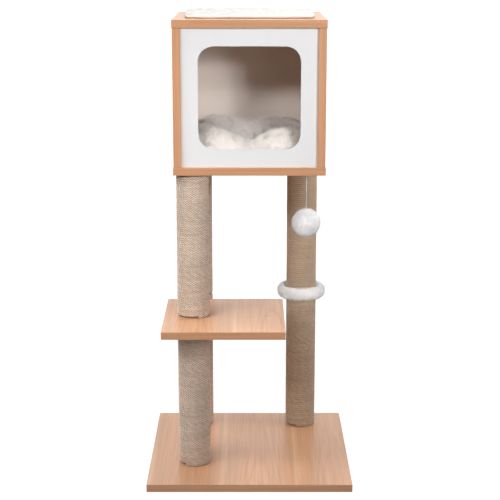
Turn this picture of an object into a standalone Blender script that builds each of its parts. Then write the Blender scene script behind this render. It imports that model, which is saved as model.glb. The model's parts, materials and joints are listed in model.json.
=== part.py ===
"""Cat scratcher with a cabin on three rope-wound posts.

Metres, +Z up, the front towards -Y. The origin is the middle of the base board's underside.
"""

import math

import bmesh
import bpy
import numpy as np
from mathutils import Matrix, Vector

# Driving dimensions of the boards
BOARD = 0.016
BASE_WIDTH = 0.424
BASE_DEPTH = 0.424
STAND_HEIGHT = 0.954
SHELF_HEIGHT = 0.343
SHELF_WIDTH = 0.250
SHELF_DEPTH = 0.254
SHELF_PAST_POST = 0.0265
CABIN_PAST_POSTS = 0.003
CABIN_HEIGHT = 0.310
WALL_INSET = 0.0011
EDGE_RADIUS = 0.0008

# Front and back panels of the cabin
PANEL = 0.005
PANEL_RECESS = 0.008
GROOVE_DEPTH = 0.005
OPENING_WIDTH = 0.205
OPENING_HEIGHT = 0.205
OPENING_RADIUS = 0.031

# Posts
POST_RADIUS = 0.034
POST_SPACING = 0.234
POST_FROM_BACK = 0.061
ROPE = 0.0045
TUBE_WALL = 0.0025
PLUG_LENGTH = 0.018

# Fasteners
BOLT_RADIUS = 0.004
BOLT_HEAD_RADIUS = 0.0085
BOLT_HEAD = 0.004
BOLT_GRIP = 0.015
SOCKET_ACROSS = 0.005
SOCKET_DEPTH = 0.0025
SINK_DEPTH = 0.0055
DOWEL_RADIUS = 0.004
DOWEL_IN_BOARD = 0.010
DOWEL_IN_WALL = 0.020
DOWEL_FROM_EDGE = 0.055

# Soft pieces
ROOF_CUSHION_WIDTH = 0.268
ROOF_CUSHION_DEPTH = 0.244
ROOF_CUSHION_BACK_MARGIN = 0.022
ROOF_CUSHION_EDGE = 0.006
ROOF_CUSHION_CROWN = 0.004
BED_SIDE_CLEARANCE = 0.005
BED_EDGE = 0.022
BED_MIDDLE = 0.030
BED_RIM = 0.066
BED_RIM_AT = 0.70
BED_RIM_SPREAD = 0.30
BED_FRONT_DIP = 0.016
BED_FRONT_DIP_SPREAD = 0.35
COLLAR_RADIAL = 0.018
COLLAR_HEIGHT = 0.024

# Pompon and its string
STRING_RADIUS = 0.0009
STRING_KNOT_RADIUS = 0.0025
ANCHOR_KNOT_RADIUS = 0.0030
POMPON_RADIUS = 0.0298
POMPON_DROP = 0.1012

# Clearances
SEAT = 0.0003
FIT = 0.0003
HOLE_FIT = 0.0006

# Facets of round pieces
ROPE_SEGMENTS = 48
TUBE_SEGMENTS = 32
PLUG_SEGMENTS = 24
COLLAR_SEGMENTS = 36
SMALL_SEGMENTS = 16

# Heights that follow from the boards and posts
SHELF_BOTTOM = SHELF_HEIGHT - BOARD
CABIN_BOTTOM = STAND_HEIGHT - CABIN_HEIGHT
CABIN_FLOOR = CABIN_BOTTOM + BOARD
CABIN_CEILING = STAND_HEIGHT - BOARD
CABIN_MIDDLE_Z = (CABIN_FLOOR + CABIN_CEILING) / 2

# Places in plan that follow from the posts
POST_X = POST_SPACING / 2
POST_BACK_Y = BASE_DEPTH / 2 - POST_FROM_BACK
POST_FRONT_Y = POST_BACK_Y - POST_SPACING
CABIN_Y = (POST_FRONT_Y + POST_BACK_Y) / 2
CABIN_WIDTH = POST_SPACING + 2 * (POST_RADIUS + CABIN_PAST_POSTS)
CABIN_DEPTH = CABIN_WIDTH
CABIN_FRONT_Y = CABIN_Y - CABIN_DEPTH / 2
CABIN_BACK_Y = CABIN_Y + CABIN_DEPTH / 2
WALL_OUTER_X = CABIN_WIDTH / 2 - WALL_INSET
WALL_INNER_X = WALL_OUTER_X - BOARD
FRONT_PANEL_Y = CABIN_FRONT_Y + PANEL_RECESS + PANEL / 2
BACK_PANEL_Y = CABIN_BACK_Y - PANEL_RECESS - PANEL / 2
SHELF_X = -POST_X - POST_RADIUS - SHELF_PAST_POST + SHELF_WIDTH / 2
SHELF_Y = (SHELF_DEPTH - BASE_DEPTH) / 2

# Radii that follow from the post and the fasteners
ROPE_INNER_RADIUS = POST_RADIUS - ROPE
TUBE_RADIUS = ROPE_INNER_RADIUS - FIT
TUBE_INNER_RADIUS = TUBE_RADIUS - TUBE_WALL
PLUG_RADIUS = TUBE_INNER_RADIUS - FIT
BOLT_HOLE_RADIUS = BOLT_RADIUS + HOLE_FIT
SINK_RADIUS = BOLT_HEAD_RADIUS + HOLE_FIT
ANCHOR_SINK_DEPTH = 2 * (ANCHOR_KNOT_RADIUS + SEAT)

POSTS = {
    "front_left": (-POST_X, POST_FRONT_Y),
    "back_left": (-POST_X, POST_BACK_Y),
    "back_right": (POST_X, POST_BACK_Y),
}
SHELF_POST = "front_left"
COLLAR_POST = "back_right"
POMPON_X = POST_X
POMPON_Y = POST_FRONT_Y


def clear_scene():
    """Remove whatever the scene holds."""
    for obj in list(bpy.data.objects):
        bpy.data.objects.remove(obj, do_unlink=True)


def make_material(name, colour, roughness, metallic=0.0):
    """A Principled material of one colour."""
    material = bpy.data.materials.new(name)
    material.use_nodes = True
    shader = material.node_tree.nodes["Principled BSDF"]
    shader.inputs["Base Color"].default_value = (*colour, 1.0)
    shader.inputs["Roughness"].default_value = roughness
    shader.inputs["Metallic"].default_value = metallic
    return material


def add_object(name, data, location, material=None, parent=None):
    """Put a mesh or curve into the scene as an object of its own."""
    obj = bpy.data.objects.new(name, data)
    bpy.context.scene.collection.objects.link(obj)
    obj.location = location
    if material is not None:
        data.materials.clear()
        data.materials.append(material)
    if parent is not None:
        obj.parent = parent
        obj.matrix_parent_inverse = Matrix.Translation(-Vector(parent.location))
    return obj


def add_empty(name, location):
    """A guide that carries the pieces on one axis."""
    return add_object(name, None, location)


def finish_mesh(bm, name, smooth):
    """Turn a bmesh into a mesh with its faces pointing out."""
    bmesh.ops.recalc_face_normals(bm, faces=bm.faces)
    mesh = bpy.data.meshes.new(name)
    bm.to_mesh(mesh)
    bm.free()
    if smooth:
        mesh.shade_smooth()
        mesh.set_sharp_from_angle(angle=math.radians(35))
    return mesh


def block_mesh(name, size):
    """A plain block around its middle."""
    bm = bmesh.new()
    bmesh.ops.create_cube(bm, size=1.0)
    bmesh.ops.scale(bm, vec=size, verts=bm.verts)
    return finish_mesh(bm, name, smooth=False)


def rounded_block_mesh(name, size, radius):
    """A block whose four edges along Y are rounded."""
    bm = bmesh.new()
    bmesh.ops.create_cube(bm, size=1.0)
    bmesh.ops.scale(bm, vec=size, verts=bm.verts)
    along_y = [e for e in bm.edges if abs(e.verts[0].co.y - e.verts[1].co.y) > size[1] / 2]
    bmesh.ops.bevel(
        bm, geom=along_y, offset=radius, offset_type="OFFSET", segments=10, profile=0.5,
        affect="EDGES",
    )
    return finish_mesh(bm, name, smooth=False)


def turned_mesh(name, profile, segments, closed=False, smooth=True):
    """A profile of (radius, height) points turned about Z; a closed one makes a ring."""
    bm = bmesh.new()
    points = [bm.verts.new((radius, 0.0, height)) for radius, height in profile]
    edges = [bm.edges.new(pair) for pair in zip(points, points[1:])]
    if closed:
        edges.append(bm.edges.new((points[-1], points[0])))
    bmesh.ops.spin(
        bm, geom=points + edges, cent=(0, 0, 0), axis=(0, 0, 1), angle=math.tau,
        steps=segments, use_merge=True,
    )
    bmesh.ops.remove_doubles(bm, verts=bm.verts, dist=1e-6)
    return finish_mesh(bm, name, smooth)


def rod_profile(radius, bottom, top):
    """Half the section of a plain rod."""
    return [(0.0, bottom), (radius, bottom), (radius, top), (0.0, top)]


def arc_points(centre, radius_r, radius_z, start, end, steps):
    """Points of an elliptical arc in the (radius, height) plane."""
    return [
        (
            centre[0] + radius_r * math.cos(start + (end - start) * i / steps),
            centre[1] + radius_z * math.sin(start + (end - start) * i / steps),
        )
        for i in range(steps + 1)
    ]


def join_meshes(name, placed):
    """One mesh from (mesh, matrix) pairs that don't touch each other."""
    bm = bmesh.new()
    for mesh, matrix in placed:
        start = len(bm.verts)
        bm.from_mesh(mesh)
        bm.verts.ensure_lookup_table()
        bmesh.ops.transform(bm, matrix=matrix, verts=bm.verts[start:])
    return finish_mesh(bm, name, smooth=False)


def cut_from(obj, cutter_mesh):
    """Take a cutter, given in world space, out of an object."""
    cutter = add_object(f"{obj.name}_cutter", cutter_mesh, (0, 0, 0))
    cutter.hide_render = True
    cutter.display_type = "WIRE"
    modifier = obj.modifiers.new("cut", "BOOLEAN")
    modifier.operation = "DIFFERENCE"
    modifier.object = cutter
    modifier.solver = "EXACT"


def round_edges(obj):
    """Round every sharp edge that the object has by now."""
    bevel = obj.modifiers.new("edges", "BEVEL")
    bevel.width = EDGE_RADIUS
    bevel.segments = 2
    bevel.limit_method = "ANGLE"
    bevel.angle_limit = math.radians(50)


def add_board(name, size, location, material, cutters):
    """A laminated board with lightly rounded edges and its holes and grooves."""
    board = add_object(name, block_mesh(name, size), location, material)
    round_edges(board)
    if cutters:
        cut_from(board, join_meshes(f"{name}_cutter", cutters))
    return board


def sunk_hole(x, y, face, sink, far):
    """A bolt hole through a board with a sink for the head, from face to far."""
    towards = 1.0 if far > face else -1.0
    past = BOARD / 4
    profile = [
        (0.0, face - towards * past),
        (SINK_RADIUS, face - towards * past),
        (SINK_RADIUS, face + towards * sink),
        (BOLT_HOLE_RADIUS, face + towards * sink),
        (BOLT_HOLE_RADIUS, far + towards * past),
        (0.0, far + towards * past),
    ]
    return turned_mesh("sunk_hole", profile, SMALL_SEGMENTS, smooth=False), Matrix.Translation((x, y, 0))


def plain_hole(x, y, radius, bottom, top):
    """A straight hole along Z."""
    mesh = turned_mesh("plain_hole", rod_profile(radius, bottom, top), SMALL_SEGMENTS, smooth=False)
    return mesh, Matrix.Translation((x, y, 0))


def groove(size, location):
    """A straight groove."""
    return block_mesh("groove", size), Matrix.Translation(location)


def dowel_places():
    """Where the dowels of one end stand, two in each wall."""
    middle_x = (WALL_OUTER_X + WALL_INNER_X) / 2
    ys = {"front": CABIN_FRONT_Y + DOWEL_FROM_EDGE, "back": CABIN_BACK_Y - DOWEL_FROM_EDGE}
    return {
        f"{side}_{end}": (sign * middle_x, y)
        for side, sign in (("left", -1), ("right", 1))
        for end, y in ys.items()
    }


def build_base(laminate):
    """The base board, with a sunk bolt hole under each post."""
    holes = [sunk_hole(x, y, 0.0, SINK_DEPTH, BOARD) for x, y in POSTS.values()]
    size = (BASE_WIDTH, BASE_DEPTH, BOARD)
    add_board("base_board", size, (0, 0, BOARD / 2), laminate, holes)


def build_shelf(laminate):
    """The shelf board, held between the two sections of one post."""
    x, y = POSTS[SHELF_POST]
    past = BOARD / 4
    hole = plain_hole(x, y, BOLT_HOLE_RADIUS, SHELF_BOTTOM - past, SHELF_HEIGHT + past)
    size = (SHELF_WIDTH, SHELF_DEPTH, BOARD)
    place = (SHELF_X, SHELF_Y, SHELF_BOTTOM + BOARD / 2)
    add_board("shelf_board", size, place, laminate, [hole])


def end_board_cutters(face, inwards):
    """Stopped panel grooves and blind dowel holes in the inner face of roof or floor."""
    reach = GROOVE_DEPTH * 2
    width = 2 * (WALL_INNER_X + GROOVE_DEPTH)
    grooves = [groove((width, PANEL + 2 * FIT, reach), (0, y, face)) for y in (FRONT_PANEL_Y, BACK_PANEL_Y)]
    ends = sorted((face - inwards * (DOWEL_IN_BOARD + FIT), face + inwards * BOARD / 4))
    radius = DOWEL_RADIUS + FIT
    return grooves + [plain_hole(x, y, radius, *ends) for x, y in dowel_places().values()]


def build_cabin_boards(laminate):
    """Roof, floor and two walls of the cabin."""
    size = (CABIN_WIDTH, CABIN_DEPTH, BOARD)
    roof_cutters = end_board_cutters(CABIN_CEILING, -1)
    add_board("roof_board", size, (0, CABIN_Y, STAND_HEIGHT - BOARD / 2), laminate, roof_cutters)

    floor_cutters = end_board_cutters(CABIN_FLOOR, 1)
    floor_cutters += [sunk_hole(x, y, CABIN_FLOOR, SINK_DEPTH, CABIN_BOTTOM) for x, y in POSTS.values()]
    floor_cutters.append(string_hole())
    add_board("floor_board", size, (0, CABIN_Y, CABIN_FLOOR - BOARD / 2), laminate, floor_cutters)

    height = CABIN_CEILING - CABIN_FLOOR - 2 * SEAT
    for side, sign in (("left", -1), ("right", 1)):
        cutters = [
            groove(
                (2 * GROOVE_DEPTH, PANEL + 2 * FIT, height * 1.1),
                (sign * WALL_INNER_X, y, CABIN_MIDDLE_Z),
            )
            for y in (FRONT_PANEL_Y, BACK_PANEL_Y)
        ]
        deep = DOWEL_IN_WALL + FIT
        cutters += [
            plain_hole(x, y, DOWEL_RADIUS + FIT, end - deep, end + deep)
            for name, (x, y) in dowel_places().items()
            for end in (CABIN_FLOOR, CABIN_CEILING)
            if name.startswith(side)
        ]
        place = (sign * (WALL_INNER_X + BOARD / 2), CABIN_Y, CABIN_MIDDLE_Z)
        add_board(f"{side}_wall", (BOARD, CABIN_DEPTH, height), place, laminate, cutters)


def build_dowels(wood):
    """Dowels that join the walls to the roof and the floor."""
    bottom = -DOWEL_IN_BOARD
    mesh = turned_mesh("dowel", rod_profile(DOWEL_RADIUS, bottom, DOWEL_IN_WALL), SMALL_SEGMENTS)
    for name, (x, y) in dowel_places().items():
        add_object(f"floor_dowel_{name}", mesh, (x, y, CABIN_FLOOR), wood)
        roof_dowel = add_object(f"roof_dowel_{name}", mesh, (x, y, CABIN_CEILING), wood)
        roof_dowel.rotation_euler = (math.pi, 0, 0)


def build_panels(white):
    """White panels that sit in the grooves; the front one has the way in."""
    into = GROOVE_DEPTH - FIT
    size = (2 * (WALL_INNER_X + into), PANEL, CABIN_CEILING - CABIN_FLOOR + 2 * into)
    sheet = block_mesh("panel", size)
    add_object("back_panel", sheet, (0, BACK_PANEL_Y, CABIN_MIDDLE_Z), white)
    front = add_object("front_panel", sheet, (0, FRONT_PANEL_Y, CABIN_MIDDLE_Z), white)
    hole = rounded_block_mesh("opening", (OPENING_WIDTH, PANEL * 3, OPENING_HEIGHT), OPENING_RADIUS)
    place = Matrix.Translation((0, FRONT_PANEL_Y, CABIN_MIDDLE_Z))
    cut_from(front, join_meshes("opening_cutter", [(hole, place)]))
    round_edges(front)


def post_sections():
    """Each section's name, place in plan, and bottom and top between what holds it."""
    for post, (x, y) in POSTS.items():
        between = BOARD if post == SHELF_POST else 0.0
        yield f"{post}_lower", x, y, BOARD + SEAT, SHELF_BOTTOM - SEAT / 2
        yield f"{post}_upper", x, y, SHELF_BOTTOM + between + SEAT / 2, CABIN_BOTTOM - SEAT


def ring_mesh(name, inner, outer, length, segments):
    """A plain tube that stands on z = 0."""
    profile = [(inner, 0.0), (outer, 0.0), (outer, length), (inner, length)]
    return turned_mesh(name, profile, segments, closed=True)


def build_posts(cardboard, sisal, wood):
    """Cardboard tubes wound with rope, with a plug in each end."""
    bolt_way = BOLT_RADIUS + FIT
    plug = ring_mesh("plug", bolt_way, PLUG_RADIUS, PLUG_LENGTH, PLUG_SEGMENTS)
    for name, x, y, bottom, top in post_sections():
        tube = ring_mesh("tube", TUBE_INNER_RADIUS, TUBE_RADIUS, top - bottom, TUBE_SEGMENTS)
        rope = ring_mesh("rope", ROPE_INNER_RADIUS, POST_RADIUS, top - bottom, ROPE_SEGMENTS)
        add_object(f"tube_{name}", tube, (x, y, bottom), cardboard)
        add_object(f"sisal_rope_{name}", rope, (x, y, bottom), sisal)
        add_object(f"bottom_plug_{name}", plug, (x, y, bottom), wood)
        add_object(f"top_plug_{name}", plug, (x, y, top - PLUG_LENGTH), wood)


def bolt_mesh():
    """A flat-headed bolt, the head's top at z = 0 and the shank downwards."""
    tip = -(BOARD - SINK_DEPTH) - BOLT_HEAD - BOLT_GRIP
    profile = [
        (0.0, tip),
        (BOLT_RADIUS * 0.8, tip),
        (BOLT_RADIUS, tip + BOLT_RADIUS * 0.3),
        (BOLT_RADIUS, -BOLT_HEAD),
        (BOLT_HEAD_RADIUS, -BOLT_HEAD),
        (BOLT_HEAD_RADIUS, -BOLT_HEAD * 0.4),
        (BOLT_HEAD_RADIUS * 0.85, 0.0),
        (0.0, 0.0),
    ]
    return turned_mesh("bolt", profile, SMALL_SEGMENTS)


def socket_mesh():
    """The hexagonal socket in a bolt's head."""
    radius = SOCKET_ACROSS / math.sqrt(3)
    return turned_mesh("socket", rod_profile(radius, -SOCKET_DEPTH, SOCKET_DEPTH), 6, smooth=False)


def add_bolt(name, location, upside_down, steel):
    """One bolt with its socket cut."""
    bolt = add_object(name, bolt_mesh(), location, steel)
    turn = Matrix.Rotation(math.pi, 4, "X") if upside_down else Matrix.Identity(4)
    bolt.rotation_euler = turn.to_euler()
    cut_from(bolt, join_meshes(f"{name}_cutter", [(socket_mesh(), Matrix.Translation(location) @ turn)]))


def build_fasteners(steel):
    """Bolts through base and cabin floor, and studs between post sections."""
    seat = SINK_DEPTH - SEAT - BOLT_HEAD
    past = PLUG_LENGTH - SEAT
    for post, (x, y) in POSTS.items():
        add_bolt(f"base_bolt_{post}", (x, y, seat), True, steel)
        add_bolt(f"cabin_bolt_{post}", (x, y, CABIN_FLOOR - seat), False, steel)
        between = BOARD if post == SHELF_POST else 0.0
        rod = rod_profile(BOLT_RADIUS, SHELF_BOTTOM - past, SHELF_BOTTOM + between + past)
        add_object(f"joining_stud_{post}", turned_mesh("stud", rod, SMALL_SEGMENTS), (x, y, 0), steel)


def pad_mesh(name, width, depth, edge, height_at, corner, steps):
    """A pad with a flat underside at z = 0 and rounded corners in plan.

    The top over (u, v), each from -1 to 1, is height_at(u, v), drawn down to the edge height
    along a quarter ellipse at the rim.
    """
    bm = bmesh.new()
    bmesh.ops.create_grid(bm, x_segments=steps, y_segments=steps, size=1.0)
    border = [e for e in bm.edges if e.is_boundary]
    skirt = bmesh.ops.extrude_edge_only(bm, edges=border)["geom"]
    low = [g for g in skirt if isinstance(g, bmesh.types.BMVert)]
    for vert in bm.verts:
        u, v = vert.co.x, vert.co.y
        rim = max(abs(u), abs(v)) ** 6
        shoulder = math.sqrt(max(0.0, 1.0 - rim))
        height = edge + (height_at(u, v) - edge) * shoulder
        vert.co.x = u * math.sqrt(1 - corner * v * v / 2) * width / 2
        vert.co.y = v * math.sqrt(1 - corner * u * u / 2) * depth / 2
        vert.co.z = 0.0 if vert in low else height
    bmesh.ops.contextual_create(bm, geom=[e for e in bm.edges if e.is_boundary])
    bmesh.ops.triangulate(bm, faces=[f for f in bm.faces if len(f.verts) > 4])
    return finish_mesh(bm, name, smooth=True)


def bed_height(u, v):
    """The bed is hollow inside a soft rim, which is pressed down in the middle of the front."""
    ring = (u**4 + v**4) ** 0.25
    crest = math.exp(-(((ring - BED_RIM_AT) / BED_RIM_SPREAD) ** 2))
    dip = BED_FRONT_DIP * max(0.0, -v) * math.exp(-((u / BED_FRONT_DIP_SPREAD) ** 2))
    return BED_MIDDLE + (BED_RIM - BED_MIDDLE) * crest - dip


def crown_height(u, v):
    """The roof cushion is highest in the middle."""
    return ROOF_CUSHION_EDGE + ROOF_CUSHION_CROWN * (1 - 0.3 * (u * u + v * v) / 2)


def build_soft_pieces(plush):
    """Roof cushion, bed cushion and the collar that hides a post's joint."""
    size = (ROOF_CUSHION_WIDTH, ROOF_CUSHION_DEPTH, ROOF_CUSHION_EDGE)
    roof = pad_mesh("roof_cushion", *size, crown_height, corner=0.10, steps=14)
    roof_y = CABIN_BACK_Y - ROOF_CUSHION_BACK_MARGIN - ROOF_CUSHION_DEPTH / 2
    add_object("roof_cushion", roof, (0, roof_y, STAND_HEIGHT + SEAT), plush)

    width = 2 * (WALL_INNER_X - BED_SIDE_CLEARANCE)
    front = FRONT_PANEL_Y + PANEL / 2 + BED_SIDE_CLEARANCE
    back = BACK_PANEL_Y - PANEL / 2 - BED_SIDE_CLEARANCE
    bed = pad_mesh("bed_cushion", width, back - front, BED_EDGE, bed_height, corner=0.20, steps=20)
    add_object("bed_cushion", bed, (0, (front + back) / 2, CABIN_FLOOR + SEAT), plush)

    x, y = POSTS[COLLAR_POST]
    centre = (POST_RADIUS + FIT + COLLAR_RADIAL / 2, 0.0)
    section = arc_points(centre, COLLAR_RADIAL / 2, COLLAR_HEIGHT / 2, 0, math.tau, 10)[:-1]
    collar = turned_mesh("plush_collar", section, COLLAR_SEGMENTS, closed=True)
    add_object("plush_collar", collar, (x, y, SHELF_BOTTOM + BOARD / 2), plush)


def string_hole():
    """The hole in the cabin floor that the string comes through, with room for its knot."""
    wide = ANCHOR_KNOT_RADIUS + HOLE_FIT
    narrow = STRING_RADIUS + HOLE_FIT
    past = BOARD / 4
    profile = [
        (0.0, CABIN_FLOOR + past),
        (wide, CABIN_FLOOR + past),
        (wide, CABIN_FLOOR - ANCHOR_SINK_DEPTH),
        (narrow, CABIN_FLOOR - ANCHOR_SINK_DEPTH),
        (narrow, CABIN_BOTTOM - past),
        (0.0, CABIN_BOTTOM - past),
    ]
    mesh = turned_mesh("string_hole", profile, SMALL_SEGMENTS, smooth=False)
    return mesh, Matrix.Translation((POMPON_X, POMPON_Y, 0))


def build_pompon(cotton, plush):
    """The anchor knot, the knot under the board, the string and the pompon."""
    pivot_z = CABIN_BOTTOM - SEAT - STRING_KNOT_RADIUS
    anchor_z = CABIN_FLOOR - SEAT - ANCHOR_KNOT_RADIUS
    tail = math.asin(STRING_RADIUS / ANCHOR_KNOT_RADIUS)
    profile = [(0.0, CABIN_BOTTOM - anchor_z), (STRING_RADIUS, CABIN_BOTTOM - anchor_z)]
    radius = ANCHOR_KNOT_RADIUS
    profile += arc_points((0, 0), radius, radius, tail - math.pi / 2, math.pi / 2, 8)
    profile[-1] = (0.0, radius)
    anchor = turned_mesh("string_anchor", profile, 12)
    add_object("string_anchor", anchor, (POMPON_X, POMPON_Y, anchor_z), cotton)

    pivot = add_empty("string_pivot", (POMPON_X, POMPON_Y, pivot_z))
    radius = STRING_KNOT_RADIUS
    ball = arc_points((0, 0), radius, radius, -math.pi / 2, math.pi / 2, 8)
    ball[0], ball[-1] = (0.0, -radius), (0.0, radius)
    knot = turned_mesh("string_knot", ball, 12)
    add_object("string_knot", knot, (POMPON_X, POMPON_Y, pivot_z), cotton, pivot)

    radius = POMPON_RADIUS
    ball = arc_points((0, 0), radius, radius, -math.pi / 2, math.pi / 2, 14)
    ball[0], ball[-1] = (0.0, -radius), (0.0, radius)
    pompon = turned_mesh("pompon", ball, 28)
    pompon_z = pivot_z - POMPON_DROP
    add_object("pompon", pompon, (POMPON_X, POMPON_Y, pompon_z), plush, pivot)

    top = pivot_z - STRING_KNOT_RADIUS - SEAT
    bottom = pompon_z + POMPON_RADIUS + SEAT
    heights = np.linspace(top, bottom, 1 + round((top - bottom) / (5 * STRING_RADIUS)))
    curve = bpy.data.curves.new("pompon_string", "CURVE")
    curve.dimensions = "3D"
    curve.bevel_depth = STRING_RADIUS
    curve.bevel_resolution = 2
    curve.use_fill_caps = True
    spline = curve.splines.new("POLY")
    spline.points.add(len(heights) - 1)
    for point, height in zip(spline.points, heights):
        point.co = (0.0, 0.0, height - pivot_z, 1.0)
    add_object("pompon_string", curve, (POMPON_X, POMPON_Y, pivot_z), cotton, pivot)


def main():
    """Build the whole object."""
    clear_scene()
    laminate = make_material("beech_laminate", (0.62, 0.36, 0.20), 0.35)
    white = make_material("white_panel", (0.84, 0.83, 0.82), 0.40)
    sisal = make_material("sisal", (0.46, 0.33, 0.22), 0.90)
    cardboard = make_material("cardboard", (0.40, 0.28, 0.18), 0.85)
    wood = make_material("birch", (0.66, 0.50, 0.33), 0.60)
    steel = make_material("zinc_steel", (0.60, 0.61, 0.62), 0.35, 1.0)
    plush = make_material("cream_plush", (0.86, 0.83, 0.79), 0.95)
    cotton = make_material("white_cotton", (0.85, 0.84, 0.82), 0.85)

    build_base(laminate)
    build_shelf(laminate)
    build_cabin_boards(laminate)
    build_dowels(wood)
    build_panels(white)
    build_posts(cardboard, sisal, wood)
    build_fasteners(steel)
    build_soft_pieces(plush)
    build_pompon(cotton, plush)


main()
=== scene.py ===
"""Dresses the cat scratcher: laminate boards, white panels, rope-wound posts, plush and toy.

Lengths are metres, Z is up, and the front with the way in faces -Y.
"""

import json
import logging
import math
from collections.abc import Mapping, Sequence
from dataclasses import dataclass, field
from enum import Enum
from typing import ClassVar

import bpy
import numpy as np
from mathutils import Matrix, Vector

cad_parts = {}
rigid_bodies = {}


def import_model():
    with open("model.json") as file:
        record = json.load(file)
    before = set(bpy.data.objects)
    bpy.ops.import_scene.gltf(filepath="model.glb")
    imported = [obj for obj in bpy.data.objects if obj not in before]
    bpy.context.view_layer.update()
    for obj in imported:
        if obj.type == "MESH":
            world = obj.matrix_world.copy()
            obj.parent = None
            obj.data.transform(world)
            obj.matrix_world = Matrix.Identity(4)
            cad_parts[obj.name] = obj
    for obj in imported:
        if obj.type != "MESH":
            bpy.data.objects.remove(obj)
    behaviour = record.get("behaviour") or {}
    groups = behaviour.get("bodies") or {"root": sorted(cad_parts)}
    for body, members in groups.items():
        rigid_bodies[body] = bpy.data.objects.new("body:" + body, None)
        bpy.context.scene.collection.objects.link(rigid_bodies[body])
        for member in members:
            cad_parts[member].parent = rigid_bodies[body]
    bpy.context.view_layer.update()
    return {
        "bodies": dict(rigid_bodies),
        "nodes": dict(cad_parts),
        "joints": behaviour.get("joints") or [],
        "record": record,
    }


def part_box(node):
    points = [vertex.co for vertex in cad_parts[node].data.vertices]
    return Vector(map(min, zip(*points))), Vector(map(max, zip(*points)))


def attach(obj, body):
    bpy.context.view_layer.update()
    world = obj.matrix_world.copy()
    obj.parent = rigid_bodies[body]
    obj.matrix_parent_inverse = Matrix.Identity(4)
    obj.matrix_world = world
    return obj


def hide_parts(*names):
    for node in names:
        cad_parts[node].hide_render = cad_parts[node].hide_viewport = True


log = logging.getLogger("cat_scratcher")

Array = np.ndarray
Shares = np.ndarray | float
Rng = np.random.Generator
Material = bpy.types.Material
Piece = bpy.types.Object
Socket = bpy.types.NodeSocket
Colour = tuple[float, float, float]
Point = tuple[float, float, float]
Value = float | Sequence[float] | Socket
Sockets = dict[str, Socket]
Key = int | str

STAND = "stand"
UP = np.array([0.0, 0.0, 1.0])
WHITE = (1.0, 1.0, 1.0)


# Surfaces worked out as whole arrays


def unit(vectors: Array) -> Array:
    """Vectors along the last axis, brought to length 1."""
    return vectors / np.maximum(np.linalg.norm(vectors, axis=-1, keepdims=True), 1e-12)


def square_to(vectors: Array, normals: Array) -> Array:
    """Directions of vectors once their part along the normals is taken out."""
    return unit(vectors - (vectors * normals).sum(-1, keepdims=True) * normals)


def spokes(turn: Array, out: Shares = 1.0, up: Shares = 0.0) -> Array:
    """Vectors at angles round Z that go out and up by the given lengths."""
    parts = np.broadcast_arrays(out * np.cos(turn), out * np.sin(turn), up + 0.0 * turn)
    return np.stack(parts, -1)


def rounded_square(angle: Array, power: float) -> Array:
    """Reach of a rounded square's outline at an angle: (|cos|^n + |sin|^n)^(-1/n)."""
    return (np.abs(np.cos(angle)) ** power + np.abs(np.sin(angle)) ** power) ** (-1.0 / power)


def evenly_round(count: int) -> Array:
    """Angles spread evenly round a full turn."""
    return np.arange(count) * math.tau / count


def ease(numbers: Array) -> Array:
    """Smooth step: x * x * (3 - 2x) of the numbers held between 0 and 1."""
    held = np.clip(numbers, 0.0, 1.0)
    return held * held * (3.0 - 2.0 * held)


def wander(places: Array, step: float, rng: Rng) -> Array:
    """A slow wander between -1 and 1: random values a step apart, with a cosine between them."""
    at = (places - places[0]) / step
    whole = np.floor(at).astype(int)
    marks = rng.uniform(-1.0, 1.0, whole[-1] + 2)
    share = (1.0 - np.cos(np.pi * (at - whole))) / 2.0
    return marks[whole] * (1.0 - share) + marks[whole + 1] * share


def placed(name: str, data: bpy.types.ID) -> Piece:
    """A new object in the scene that shows the data."""
    made = bpy.data.objects.new(name, data)
    bpy.context.scene.collection.objects.link(made)
    return made


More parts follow.
